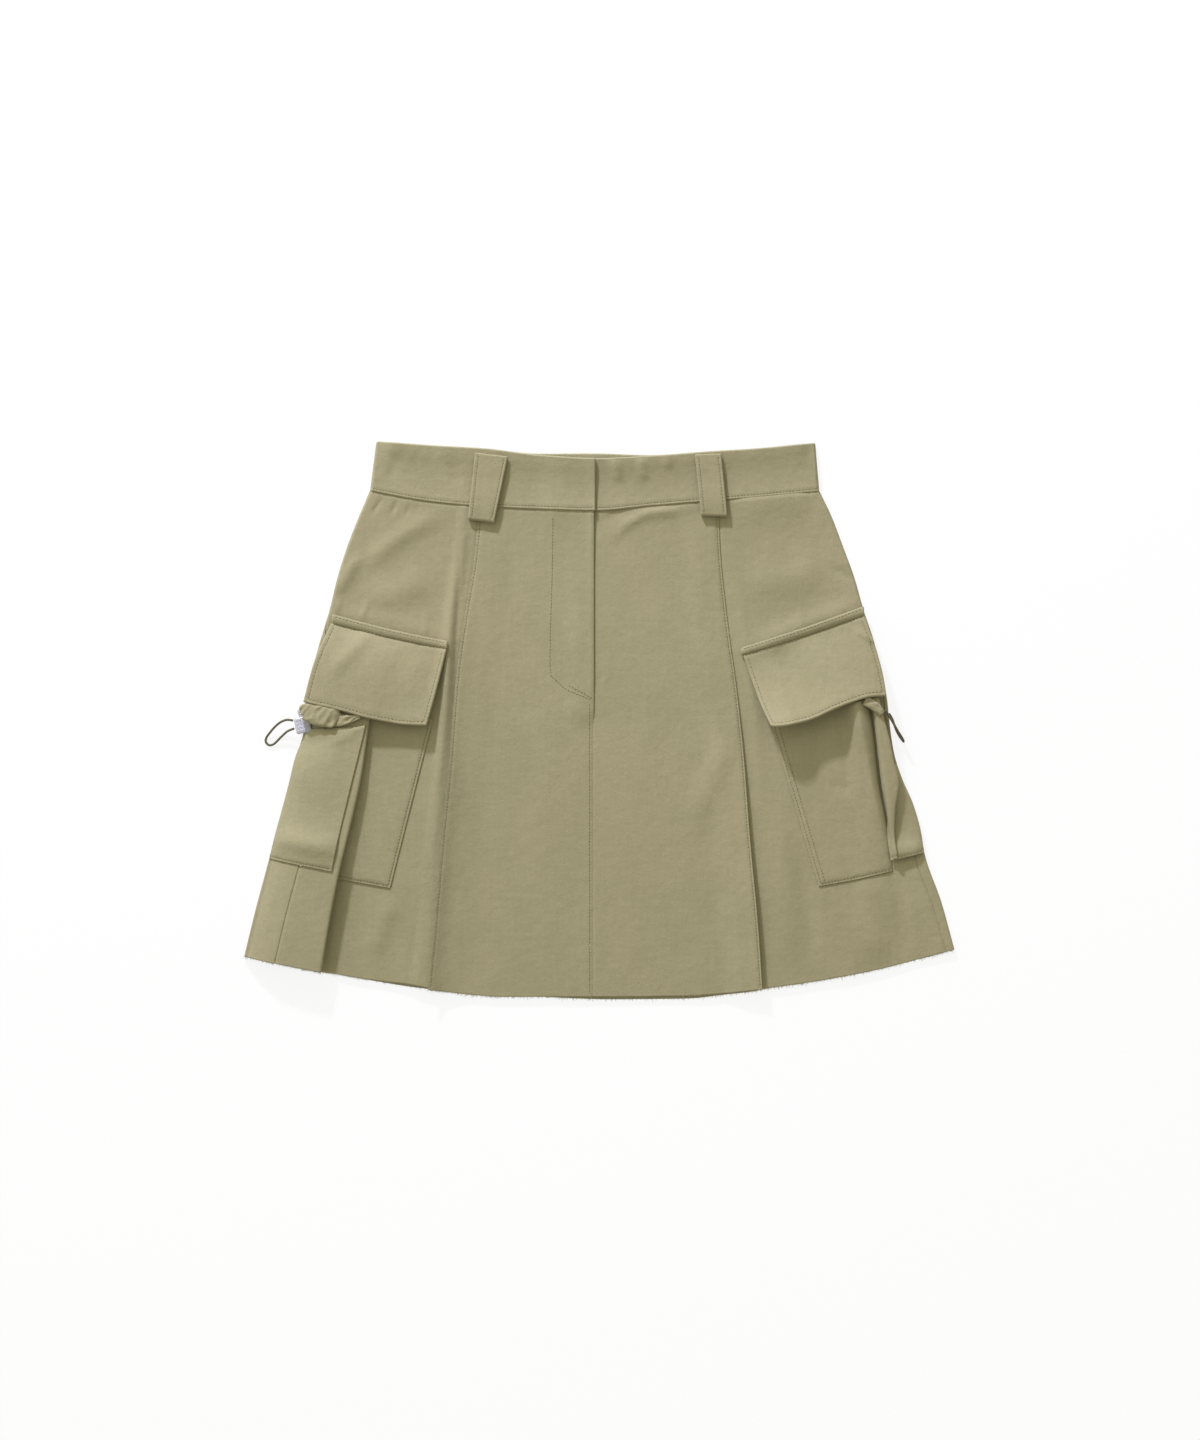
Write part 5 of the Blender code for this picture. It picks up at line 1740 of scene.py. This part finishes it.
@dataclass
class Casing:
    """A gathered drawcord casing, an open flattened tube.

    A row of the table gives a section's x, y, z, width and height.
    """

    name: str
    beneath: str
    rows: tuple[tuple[float, float, float, float, float], ...]
    gather: float
    seed: int

    def sections(self) -> np.ndarray:
        """Space the casing's sections evenly along it and smooth them.

        Returns:
            The rows, with the columns of the table.
        """
        table = np.array(self.rows, float)
        reach = reach_along(table[:, :3])
        count = max(CASING_SECTIONS, round(reach[-1] / CASING_STEP))
        places = np.linspace(0, reach[-1], count)
        fine = np.column_stack([np.interp(places, reach, column) for column in table.T])
        for _ in range(2):
            fine[1:-1] = 0.25 * fine[:-2] + 0.5 * fine[1:-1] + 0.25 * fine[2:]
        return fine

    def build(self, twill: bpy.types.Material) -> None:
        """Make the tube with its crinkles, in the casing's cloth.

        Args:
            twill: its cloth.
        """
        fine = self.sections()
        count = len(fine)
        length = line_length(np.array(self.rows, float)[:, :3])
        run = np.gradient(fine[:, :3], axis=0)
        run /= np.linalg.norm(run, axis=1)[:, None]
        across = np.cross(run, np.array((0.0, 0.0, 1.0)))
        across /= np.linalg.norm(across, axis=1)[:, None]
        up = np.cross(across, run)
        angle = 2 * math.pi * np.arange(CASING_TURNS) / CASING_TURNS
        along = np.linspace(0, length, count)[:, None]
        square = np.sign(np.cos(angle)) * np.abs(np.cos(angle)) ** CASING_SQUARE
        flat = np.sign(np.sin(angle)) * np.abs(np.sin(angle)) ** CASING_SQUARE
        slanted = along / CASING_FACET + CASING_SLANT * square
        facets = np.abs(soft_noise(slanted, 1.3 * square + 0.1 * along, self.seed))
        fine_crinkle = soft_noise(along / CASING_CRINKLE, 2.4 * square[None, :], self.seed + 1)
        crinkle = 1 - 2 * facets + FINE_SHARE * fine_crinkle
        layers = []
        for inset in (0.0, CLOTH):
            out = fine[:, 3, None] / 2 - inset + self.gather * crinkle * CASING_SPREAD
            high = fine[:, 4, None] / 2 - inset * 0.9 + self.gather * crinkle
            sideways = across[:, None] * (out * square)[:, :, None]
            rise = up[:, None] * (high * flat)[:, :, None]
            layers.append((fine[:, None, :3] + sideways + rise).reshape(-1, 3))
        outer = tube_faces(count, CASING_TURNS)
        inside = count * CASING_TURNS
        k = np.arange(CASING_TURNS)
        b = (k + 1) % CASING_TURNS
        near = np.column_stack([k, k + inside, b + inside, b])
        far = near[:, ::-1] + (count - 1) * CASING_TURNS
        faces = np.concatenate([outer, outer[:, ::-1] + inside, near, far])
        piece = make_mesh(f"{self.name}_cloth", np.concatenate(layers), faces, twill)
        fit(piece, self.name)
        log.info("%s: %.0f mm long", piece.name, length)


DOT_RADIUS = 0.62
DOT_HEIGHT = 0.5
DOT_SUNK = 0.08
DOTS_ACROSS = (-3.6, -1.2, 1.2, 3.6)
DOTS_ALONG = (-4.0, -1.3, 1.4, 4.1)
PLUNGER_TURNS = 28
PLUNGER_PROFILE = (
    (0.0, 0.4), (0.0, 1.5), (0.25, 1.9), (0.9, 1.9), (1.1, 1.55), (1.5, 1.55), (1.7, 2.0), (2.3, 2.0),
    (2.5, 1.6), (2.9, 1.6), (3.1, 2.05), (3.8, 2.1), (4.9, 2.1), (5.5, 1.9), (5.85, 1.4), (6.0, 0.4),
)


@dataclass
class CordLock:
    """The clear cord lock: a rounded body with small grip dots and a ribbed spring plunger."""

    plastic: bpy.types.Material

    def place(self, points: np.ndarray) -> np.ndarray:
        """Turn and move points of the lock into place."""
        c, s = math.cos(LOCK_TURN), math.sin(LOCK_TURN)
        x, y, z = points.T
        return np.column_stack([x * c - y * s, x * s + y * c, z]) + np.array(LOCK_CENTRE)

    def build(self) -> tuple[bpy.types.Object, bpy.types.Object]:
        """Make the body and the plunger."""
        body = self.place_piece("cord_lock_shell", *self.body(), "cord_lock_body")
        plunger = self.place_piece("cord_lock_button", *self.plunger(), "cord_lock_plunger")
        return body, plunger

    def place_piece(self, name: str, points: np.ndarray, faces: np.ndarray, node: str) -> bpy.types.Object:
        """Make one part of the lock in place of its CAD node."""
        piece = make_mesh(name, self.place(points), faces, self.plastic)
        fit(piece, node)
        return piece

    def body(self) -> Faces:
        """Shape the rounded body and its dots.

        Returns:
            Its points and its faces.
        """
        half = np.array(LOCK_SIZE) / 2
        points, faces = rounded_box(half, LOCK_ROUND, 10)
        dot, dot_faces = dome(DOT_RADIUS, DOT_HEIGHT)
        for x in DOTS_ACROSS:
            for y in DOTS_ALONG:
                faces = np.concatenate([faces, dot_faces + len(points)])
                points = np.concatenate([points, dot + np.array((x, y, half[2] - DOT_SUNK))])
        return points, faces

    def plunger(self) -> Faces:
        """Turn the ribbed plunger on its own axis."""
        start = LOCK_SIZE[1] / 2 + SEAM_GAP
        around = circle(PLUNGER_TURNS)
        rings = [np.insert(around * radius, 1, start + y, axis=1) for y, radius in PLUNGER_PROFILE]
        return np.concatenate(rings), tube_faces(len(rings), PLUNGER_TURNS)[:, [0, 3, 2, 1]]


def circle(turns: int) -> np.ndarray:
    """Space points round a circle of radius 1."""
    angle = 2 * math.pi * np.arange(turns) / turns
    return np.column_stack([np.cos(angle), np.sin(angle)])


def rounded_box(half: np.ndarray, radius: float, steps: int) -> Faces:
    """Make a box with rounded edges.

    Args:
        half: half of its size along x, y and z.
        radius: the rounding.
        steps: how many faces run along each side.

    Returns:
        Its points and its faces.
    """
    way = np.linspace(-1, 1, steps + 1)
    way = np.sign(way) * np.abs(way) ** 0.6
    points, faces = [], []
    quad = grid_faces(steps + 1, steps + 1)
    for axis in range(3):
        for sign in (-1, 1):
            u, v = np.meshgrid(way, way, indexing="ij")
            side = np.zeros((steps + 1, steps + 1, 3))
            side[:, :, axis] = sign
            side[:, :, (axis + 1) % 3] = u
            side[:, :, (axis + 2) % 3] = v
            faces.append((quad if sign > 0 else quad[:, ::-1]) + len(points) * (steps + 1) ** 2)
            points.append(side.reshape(-1, 3))
    outer = np.concatenate(points) * half
    inner = np.clip(outer, -(half - radius), half - radius)
    off = outer - inner
    off /= np.maximum(np.linalg.norm(off, axis=1, keepdims=True), 1e-9)
    return inner + off * radius, np.concatenate(faces)


def dome(radius: float, height: float) -> Faces:
    """Make a small dome on the plane z = 0.

    Args:
        radius: its radius.
        height: its height.

    Returns:
        Its points and its faces.
    """
    around = circle(10)
    rises = (0.0, 0.4, 0.75, 0.97)
    rings = []
    for rise in rises:
        rings.append(np.insert(around * (radius * math.sqrt(1 - rise**2)), 2, height * rise, axis=1))
    return np.concatenate(rings), tube_faces(len(rises), len(around))


def build_cord(name: str, route: Route, cord: bpy.types.Material) -> bpy.types.Object:
    """Make an elastic cord loop along its route.

    Args:
        name: its CAD node.
        route: the points that it runs through.
        cord: its finish.

    Returns:
        The object.
    """
    line = bpy.data.curves.new(f"{name}_cord", "CURVE")
    line.dimensions = "3D"
    line.bevel_depth = CORD_RADIUS * MM
    line.bevel_resolution = 4
    line.use_fill_caps = True
    points = smooth_route(route, CORD_SPAN)
    spline = line.splines.new("NURBS")
    spline.points.add(len(points) - 1)
    for slot, point in zip(spline.points, points):
        slot.co = (*(point * MM), 1.0)
    spline.order_u = 4
    spline.use_endpoint_u = True
    spline.resolution_u = 4
    line.materials.append(cord)
    piece = bpy.data.objects.new(f"{name}_cord", line)
    bpy.context.scene.collection.objects.link(piece)
    fit(piece, name)
    return piece


# Finishes

Colour = tuple[float, float, float]
Socket = bpy.types.NodeSocket
TWILL_ANGLE = math.radians(28.0)
EDGE_WEAR = 0.12
MOTTLE = (
    (11.0, (1.0, 1.0, 1.0), 0.5),
    (48.0, (1.0, 0.7, 1.0), 0.3),
    (330.0, (1.0, 0.14, 1.0), 0.32),
    (330.0, (0.14, 1.0, 1.0), 0.28),
    (1100.0, (1.0, 1.0, 1.0), 0.8),
    (7.0, (1.0, 0.8, 1.0), 3.2),
)


@dataclass(frozen=True)
class Finish:
    """The look of one material."""

    colour: Colour
    darker: Colour
    warmer: Colour
    roughness: float
    sheen: float = 0.0


class Finishes(Enum):
    """The skirt's finishes."""

    TWILL = Finish((0.382, 0.346, 0.205), (0.318, 0.286, 0.165), (0.383, 0.332, 0.196), 0.88, 0.12)
    # The thread is real and close to the cloth's tone; its extra darkness is painted shade for the shadows in
    # the stitch holes and dents.
    THREAD = Finish((0.27, 0.243, 0.142), (0.20, 0.18, 0.105), (0.26, 0.232, 0.135), 0.8, 0.1)
    FRINGE = Finish((0.47, 0.43, 0.30), (0.38, 0.345, 0.22), (0.46, 0.41, 0.28), 0.9, 0.1)
    CORD = Finish((0.150, 0.135, 0.075), (0.10, 0.09, 0.05), (0.14, 0.12, 0.07), 0.75, 0.1)
    CLEAR = Finish((0.70, 0.69, 0.77), (0.5, 0.49, 0.56), (0.6, 0.58, 0.66), 0.18)


class Nodes:
    """A short way to add shader nodes and join them."""

    def __init__(self, tree: bpy.types.NodeTree) -> None:
        """Work on one node tree."""
        self.tree = tree

    def add(self, kind: str, values: dict[str, object] | None = None, **settings: object) -> bpy.types.Node:
        """Add a node.

        Args:
            kind: the node's type.
            values: its inputs by name.
            settings: its properties by name.

        Returns:
            The node.
        """
        node = self.tree.nodes.new(kind)
        for name, value in settings.items():
            setattr(node, name, value)
        for name, value in (values or {}).items():
            node.inputs[name].default_value = value
        return node

    def join(self, start: Socket, end: Socket) -> None:
        """Link two sockets."""
        self.tree.links.new(start, end)

    def math(self, operation: str, first: Socket | float, second: Socket | float) -> Socket:
        """Do one sum on two sockets or numbers.

        Args:
            operation: which sum.
            first: a socket or a number.
            second: a socket or a number.

        Returns:
            The socket with the answer.
        """
        node = self.add("ShaderNodeMath", operation=operation)
        for socket, value in zip(node.inputs, (first, second)):
            if isinstance(value, float):
                socket.default_value = value
            else:
                self.join(value, socket)
        return node.outputs[0]

    def noise(self, place: Socket, scale: float, detail: float) -> Socket:
        """Add cloudy noise at a place."""
        node = self.add("ShaderNodeTexNoise", {"Scale": scale, "Detail": detail})
        self.join(place, node.inputs["Vector"])
        return node.outputs[0]

    def blend(self, share: Socket, start: Colour, end: Colour | Socket) -> Socket:
        """Mix two colours, of which the second may come from a socket.

        Args:
            share: how much of the second.
            start: the first colour.
            end: the second colour.

        Returns:
            The socket with the mixed colour.
        """
        node = self.add("ShaderNodeMix", data_type="RGBA", clamp_factor=True)
        self.join(share, node.inputs[0])
        node.inputs[6].default_value = (*start, 1.0)
        if isinstance(end, tuple):
            node.inputs[7].default_value = (*end, 1.0)
        else:
            self.join(end, node.inputs[7])
        return node.outputs[2]

    def shared(self, name: str, place: Socket) -> list[Socket]:
        """Add a shared group at a place on the cloth and give its outputs."""
        node = self.add("ShaderNodeGroup", node_tree=bpy.data.node_groups[name])
        self.join(place, node.inputs[0])
        return list(node.outputs)


class NodeGroup(Nodes):
    """A shader node group that takes a place on the cloth and puts out numbers."""

    def __init__(self, name: str, *outputs: str) -> None:
        """Start the group and its sockets.

        Args:
            name: the group's name.
            outputs: the names of what it puts out.
        """
        super().__init__(bpy.data.node_groups.new(name, "ShaderNodeTree"))
        self.tree.interface.new_socket("Place", in_out="INPUT", socket_type="NodeSocketVector")
        for output in outputs:
            self.tree.interface.new_socket(output, in_out="OUTPUT", socket_type="NodeSocketFloat")
        self.place = self.add("NodeGroupInput").outputs[0]
        self.end = self.add("NodeGroupOutput")


def build_weave() -> None:
    """Make the group that gives the twill's diagonal ribs, its nap and its fine crumple."""
    group = NodeGroup("Twill weave", "Height")
    turn = group.add("ShaderNodeMapping", {"Rotation": (0.0, 0.0, TWILL_ANGLE)})
    rib = {"Scale": 380.0, "Distortion": 1.2, "Detail": 2.0}
    ribs = group.add("ShaderNodeTexWave", rib, bands_direction="X")
    group.join(group.place, turn.inputs[0])
    group.join(turn.outputs[0], ribs.inputs[0])
    nap = group.math("MULTIPLY", group.noise(group.place, 900.0, 4.0), 0.5)
    crumple = group.math("MULTIPLY", group.noise(group.place, 170.0, 3.0), 2.2)
    total = group.math("ADD", group.math("MULTIPLY", ribs.outputs[1], 0.35), nap)
    group.join(group.math("ADD", total, crumple), group.end.inputs[0])


def build_mottle() -> None:
    """Make the group that gives the wash's clouds, the slubs along both yarns and the warmer patches."""
    group = NodeGroup("Washed mottle", "Tone", "Warmth")
    parts = []
    for scale, stretch, amount in MOTTLE:
        shape = group.add("ShaderNodeMapping", {"Scale": stretch})
        group.join(group.place, shape.inputs[0])
        centred = group.math("SUBTRACT", group.noise(shape.outputs[0], scale, 2.0), 0.5)
        parts.append(group.math("MULTIPLY", centred, amount))
    total, *tones, warmth = parts
    for tone in tones:
        total = group.math("ADD", total, tone)
    group.join(group.math("ADD", group.math("MULTIPLY", total, 2.0), 0.5), group.end.inputs[0])
    group.join(group.math("ADD", warmth, 0.5), group.end.inputs[1])


def new_material(name: str, values: dict[str, object]) -> bpy.types.Material:
    """Start a material.

    Args:
        name: the material's name.
        values: what its shader's inputs are set to, by name.

    Returns:
        The material.
    """
    material = bpy.data.materials.new(name)
    material.use_nodes = True
    for socket, value in values.items():
        material.node_tree.nodes["Principled BSDF"].inputs[socket].default_value = value
    return material


def cloth_material(name: str, finish: Finish, relief_mm: float) -> bpy.types.Material:
    """Make a cloth or thread material.

    Args:
        name: the material's name.
        finish: its look.
        relief_mm: how high its weave stands.

    Returns:
        The material.
    """
    sheen = {"Sheen Weight": finish.sheen, "Sheen Roughness": 0.6}
    material = new_material(name, {"Roughness": finish.roughness, "Specular IOR Level": 0.2, **sheen})
    nodes = Nodes(material.node_tree)
    shader = material.node_tree.nodes["Principled BSDF"]
    place = nodes.add("ShaderNodeTexCoord").outputs["Object"]
    height = nodes.shared("Twill weave", place)[0]
    mottle, warmth = nodes.shared("Washed mottle", place)
    worn = nodes.add("ShaderNodeAttribute", attribute_name="worn")
    tone = nodes.math("ADD", mottle, nodes.math("MULTIPLY", worn.outputs["Fac"], EDGE_WEAR))
    hue = nodes.blend(warmth, finish.colour, finish.warmer)
    nodes.join(nodes.blend(tone, finish.darker, hue), shader.inputs["Base Color"])
    raised = nodes.add("ShaderNodeBump", {"Strength": 0.6, "Distance": relief_mm * MM})
    nodes.join(height, raised.inputs["Height"])
    nodes.join(raised.outputs[0], shader.inputs["Normal"])
    return material


def clear_material(finish: Finish) -> bpy.types.Material:
    """Make the cord lock's clear plastic."""
    clear = {"Transmission Weight": 0.35, "IOR": 1.46}
    return new_material(
        "clear_plastic", {"Base Color": (*finish.colour, 1.0), "Roughness": finish.roughness, **clear}
    )


@dataclass
class Studio:
    """The pale floor, the low key light, the soft fill and the camera above."""

    floor_size: float = 6.0

    def build(self) -> None:
        """Set up the floor, the lights, the camera and the view."""
        scene = bpy.context.scene
        floor = self.floor()
        key = bpy.data.lights.new("key", "AREA")
        key.shape = "DISK"
        key.size = KEY_WIDTH
        window = bpy.data.lights.new("window", "SUN")
        window.angle = WINDOW_SOFTNESS
        spread = math.pi * KEY_DISTANCE**2
        lamps = [
            self.lamp(key, tuple(part * spread for part in KEY_POWER), KEY_HEADING, KEY_RISE),
            self.lamp(window, WINDOW_POWER, WINDOW_HEADING, WINDOW_RISE),
        ]

        world = bpy.data.worlds.new("studio")
        world.use_nodes = True
        world.node_tree.nodes["Background"].inputs["Color"].default_value = (*FILL_LIGHT, 1.0)
        scene.world = world

        lens = bpy.data.cameras.new("camera")
        lens.lens = CAMERA_LENS
        lens.sensor_fit = "VERTICAL"
        lens.sensor_height = CAMERA_SENSOR
        lens.dof.use_dof = False
        camera = bpy.data.objects.new("camera", lens)
        camera.location = (CAMERA_X, 0.0, CAMERA_HEIGHT)
        scene.collection.objects.link(camera)
        scene.camera = camera
        scene.view_settings.view_transform = "Standard"

    def lamp(
        self, light: bpy.types.Light, power: Colour, heading: tuple[float, float], rise: float
    ) -> bpy.types.Object:
        """Hang a lamp that points at the skirt's middle.

        Args:
            light: the lamp's light.
            power: its strength in red, green and blue.
            heading: the way towards it across the floor.
            rise: its height above the floor, as an angle.

        Returns:
            The lamp.
        """
        light.energy = max(power)
        light.color = tuple(part / max(power) for part in power)
        lamp = bpy.data.objects.new(light.name, light)
        across = Vector((*heading, 0.0)).normalized() * math.cos(rise)
        towards = Vector((across.x, across.y, math.sin(rise)))
        lamp.rotation_euler = towards.to_track_quat("Z", "Y").to_euler()
        lamp.location = towards * KEY_DISTANCE
        bpy.context.scene.collection.objects.link(lamp)
        return lamp

    def floor(self) -> bpy.types.Object:
        """Make the pale floor, partly lit from within so that shadows on it stay weak.

        Returns:
            The floor.
        """
        corners = np.array(((-1.0, -1.0), (1.0, -1.0), (1.0, 1.0), (-1.0, 1.0)))
        points = np.insert(corners * self.floor_size / MM / 2, 2, -FLOOR_DROP, axis=1)
        lit = {"Emission Color": (1.0, 1.0, 1.0, 1.0), "Emission Strength": 0.85}
        plain = {"Base Color": (0.15, 0.15, 0.15, 1.0), "Roughness": 1.0, "Specular IOR Level": 0.0}
        return make_mesh("floor", points, np.array(((0, 1, 2, 3),)), new_material("floor", {**plain, **lit}))


def main() -> None:
    """Dress the whole skirt and set up the studio."""
    logging.basicConfig(level=logging.INFO, format="%(name)s: %(message)s")
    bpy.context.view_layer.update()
    build_weave()
    build_mottle()
    twill = cloth_material("washed_twill", Finishes.TWILL.value, 0.35)
    # Thread darker than the cloth: partly its own tone, partly painted shade for the stitch holes' shadows.
    thread = cloth_material("sewing_thread_with_painted_shade", Finishes.THREAD.value, 0.1)
    fringe = cloth_material("frayed_yarn", Finishes.FRINGE.value, 0.1)
    cord = cloth_material("elastic_cord", Finishes.CORD.value, 0.15)
    clear = clear_material(Finishes.CLEAR.value)

    left_cord = build_cord("cord_loop_left", CORD_LEFT, cord)
    right_cord = build_cord("cord_loop_right", CORD_RIGHT, cord)
    lock = CordLock(clear).build()

    Panels(twill, thread, fringe).build()
    Waistband(twill, thread).build()
    loops = Stitching("belt_loop_stitching", seed=71)
    for loop in BELT_LOOPS:
        loop.build(twill, loops)
    loops.build(thread)
    Pockets(twill, thread).build()
    flaps = Stitching("flap_stitching", pitch=2.8, seed=81)
    for flap in FLAPS:
        flap.build(twill, flaps)
    flaps.build(thread)
    for casing in CASINGS:
        casing.build(twill)
    Studio().build()


BELT_LOOPS = (
    BeltLoop("belt_loop_left", (-94.9, 204.6), (-70.7, 201.6), (-100.3, 154.0), (-81.2, 151.7)),
    BeltLoop("belt_loop_right", (73.9, 203.2), (93.1, 203.8), (78.5, 157.1), (97.9, 156.6)),
)
FLAPS = (
    Flap(
        -1,
        ((-204.8, 99.0, 105.4), (-117.0, 105.6, 111.0)),
        FLAP_LEFT_OUTER,
        FLAP_LEFT_INNER,
        FLAP_LEFT_BOTTOM,
        (
            Crease(1.6, 6.0, ((-171.0, 72.0), (-188.0, 55.0), (-207.0, 33.0))),
            Crease(-0.5, 8.0, ((-140.0, 56.0), (-160.0, 30.0))),
        ),
    ),
    Flap(
        1,
        ((109.4, 113.7, 118.8), (202.6, 94.6, 101.0)),
        FLAP_RIGHT_INNER,
        FLAP_RIGHT_OUTER,
        FLAP_RIGHT_BOTTOM,
        (Crease(1.6, 1.8, ((196.0, 70.5), (205.4, 63.9), (214.0, 57.8)), 2.5),),
    ),
)
CASINGS = (
    Casing(
        "casing_left",
        "pocket_outer_left_cloth",
        (
            (-229.0, 6.6, 14.2, 5.0, 3.4),
            (-226.6, 7.4, 14.4, 11.0, 4.2),
            (-223.0, 6.0, 14.6, 13.6, 4.6),
            (-217.0, 3.9, 14.8, 15.6, 4.8),
            (-211.0, 2.8, 14.8, 15.8, 4.8),
            (-206.0, 1.9, 14.8, 15.4, 4.8),
            (-202.8, 1.5, 14.6, 14.8, 4.6),
            (-201.4, 0.8, 12.6, 12.4, 3.4),
            (-199.4, 0.0, 13.0, 10.6, 3.6),
            (-196.0, 0.0, 13.4, 8.2, 3.4),
            (-190.0, 1.1, 13.4, 5.6, 3.0),
            (-183.0, 2.6, 13.2, 2.8, 2.6),
        ),
        0.75,
        91,
    ),
    Casing(
        "casing_right",
        "pocket_front_right_cloth",
        (
            (216.4, 4.6, 14.5, 5.0, 3.6),
            (212.6, 9.4, 14.6, 7.0, 3.6),
            (208.0, 12.6, 14.7, 7.6, 3.6),
            (203.0, 14.8, 14.8, 7.0, 3.4),
        ),
        0.5,
        95,
    ),
)
CORD_LEFT = (
    (-235.2, -0.4, 7.4),
    (-239.8, 0.2, 6.9),
    (-245.1, -1.7, 5.6),
    (-250.0, -5.8, 4.0),
    (-253.8, -10.2, 2.4),
    (-256.4, -13.8, 1.3),
    (-256.7, -17.0, 1.0),
    (-254.2, -19.4, 1.0),
    (-250.8, -18.7, 1.2),
    (-247.6, -15.9, 1.9),
    (-244.2, -12.5, 3.3),
    (-239.6, -8.6, 5.4),
    (-234.4, -6.6, 7.2),
)
CORD_RIGHT = (
    (218.8, 7.4, 14.1),
    (221.6, 3.6, 12.6),
    (225.2, -2.0, 11.4),
    (228.4, -7.6, 10.3),
    (231.9, -13.1, 9.2),
    (233.3, -15.6, 8.0),
    (233.8, -16.6, 5.2),
    (233.0, -15.4, 2.4),
    (231.3, -12.9, 1.3),
    (229.0, -8.9, 1.8),
    (227.0, -4.4, 3.8),
    (225.2, 0.2, 6.8),
    (222.4, 4.8, 9.4),
)

if __name__ == "__main__":
    main()
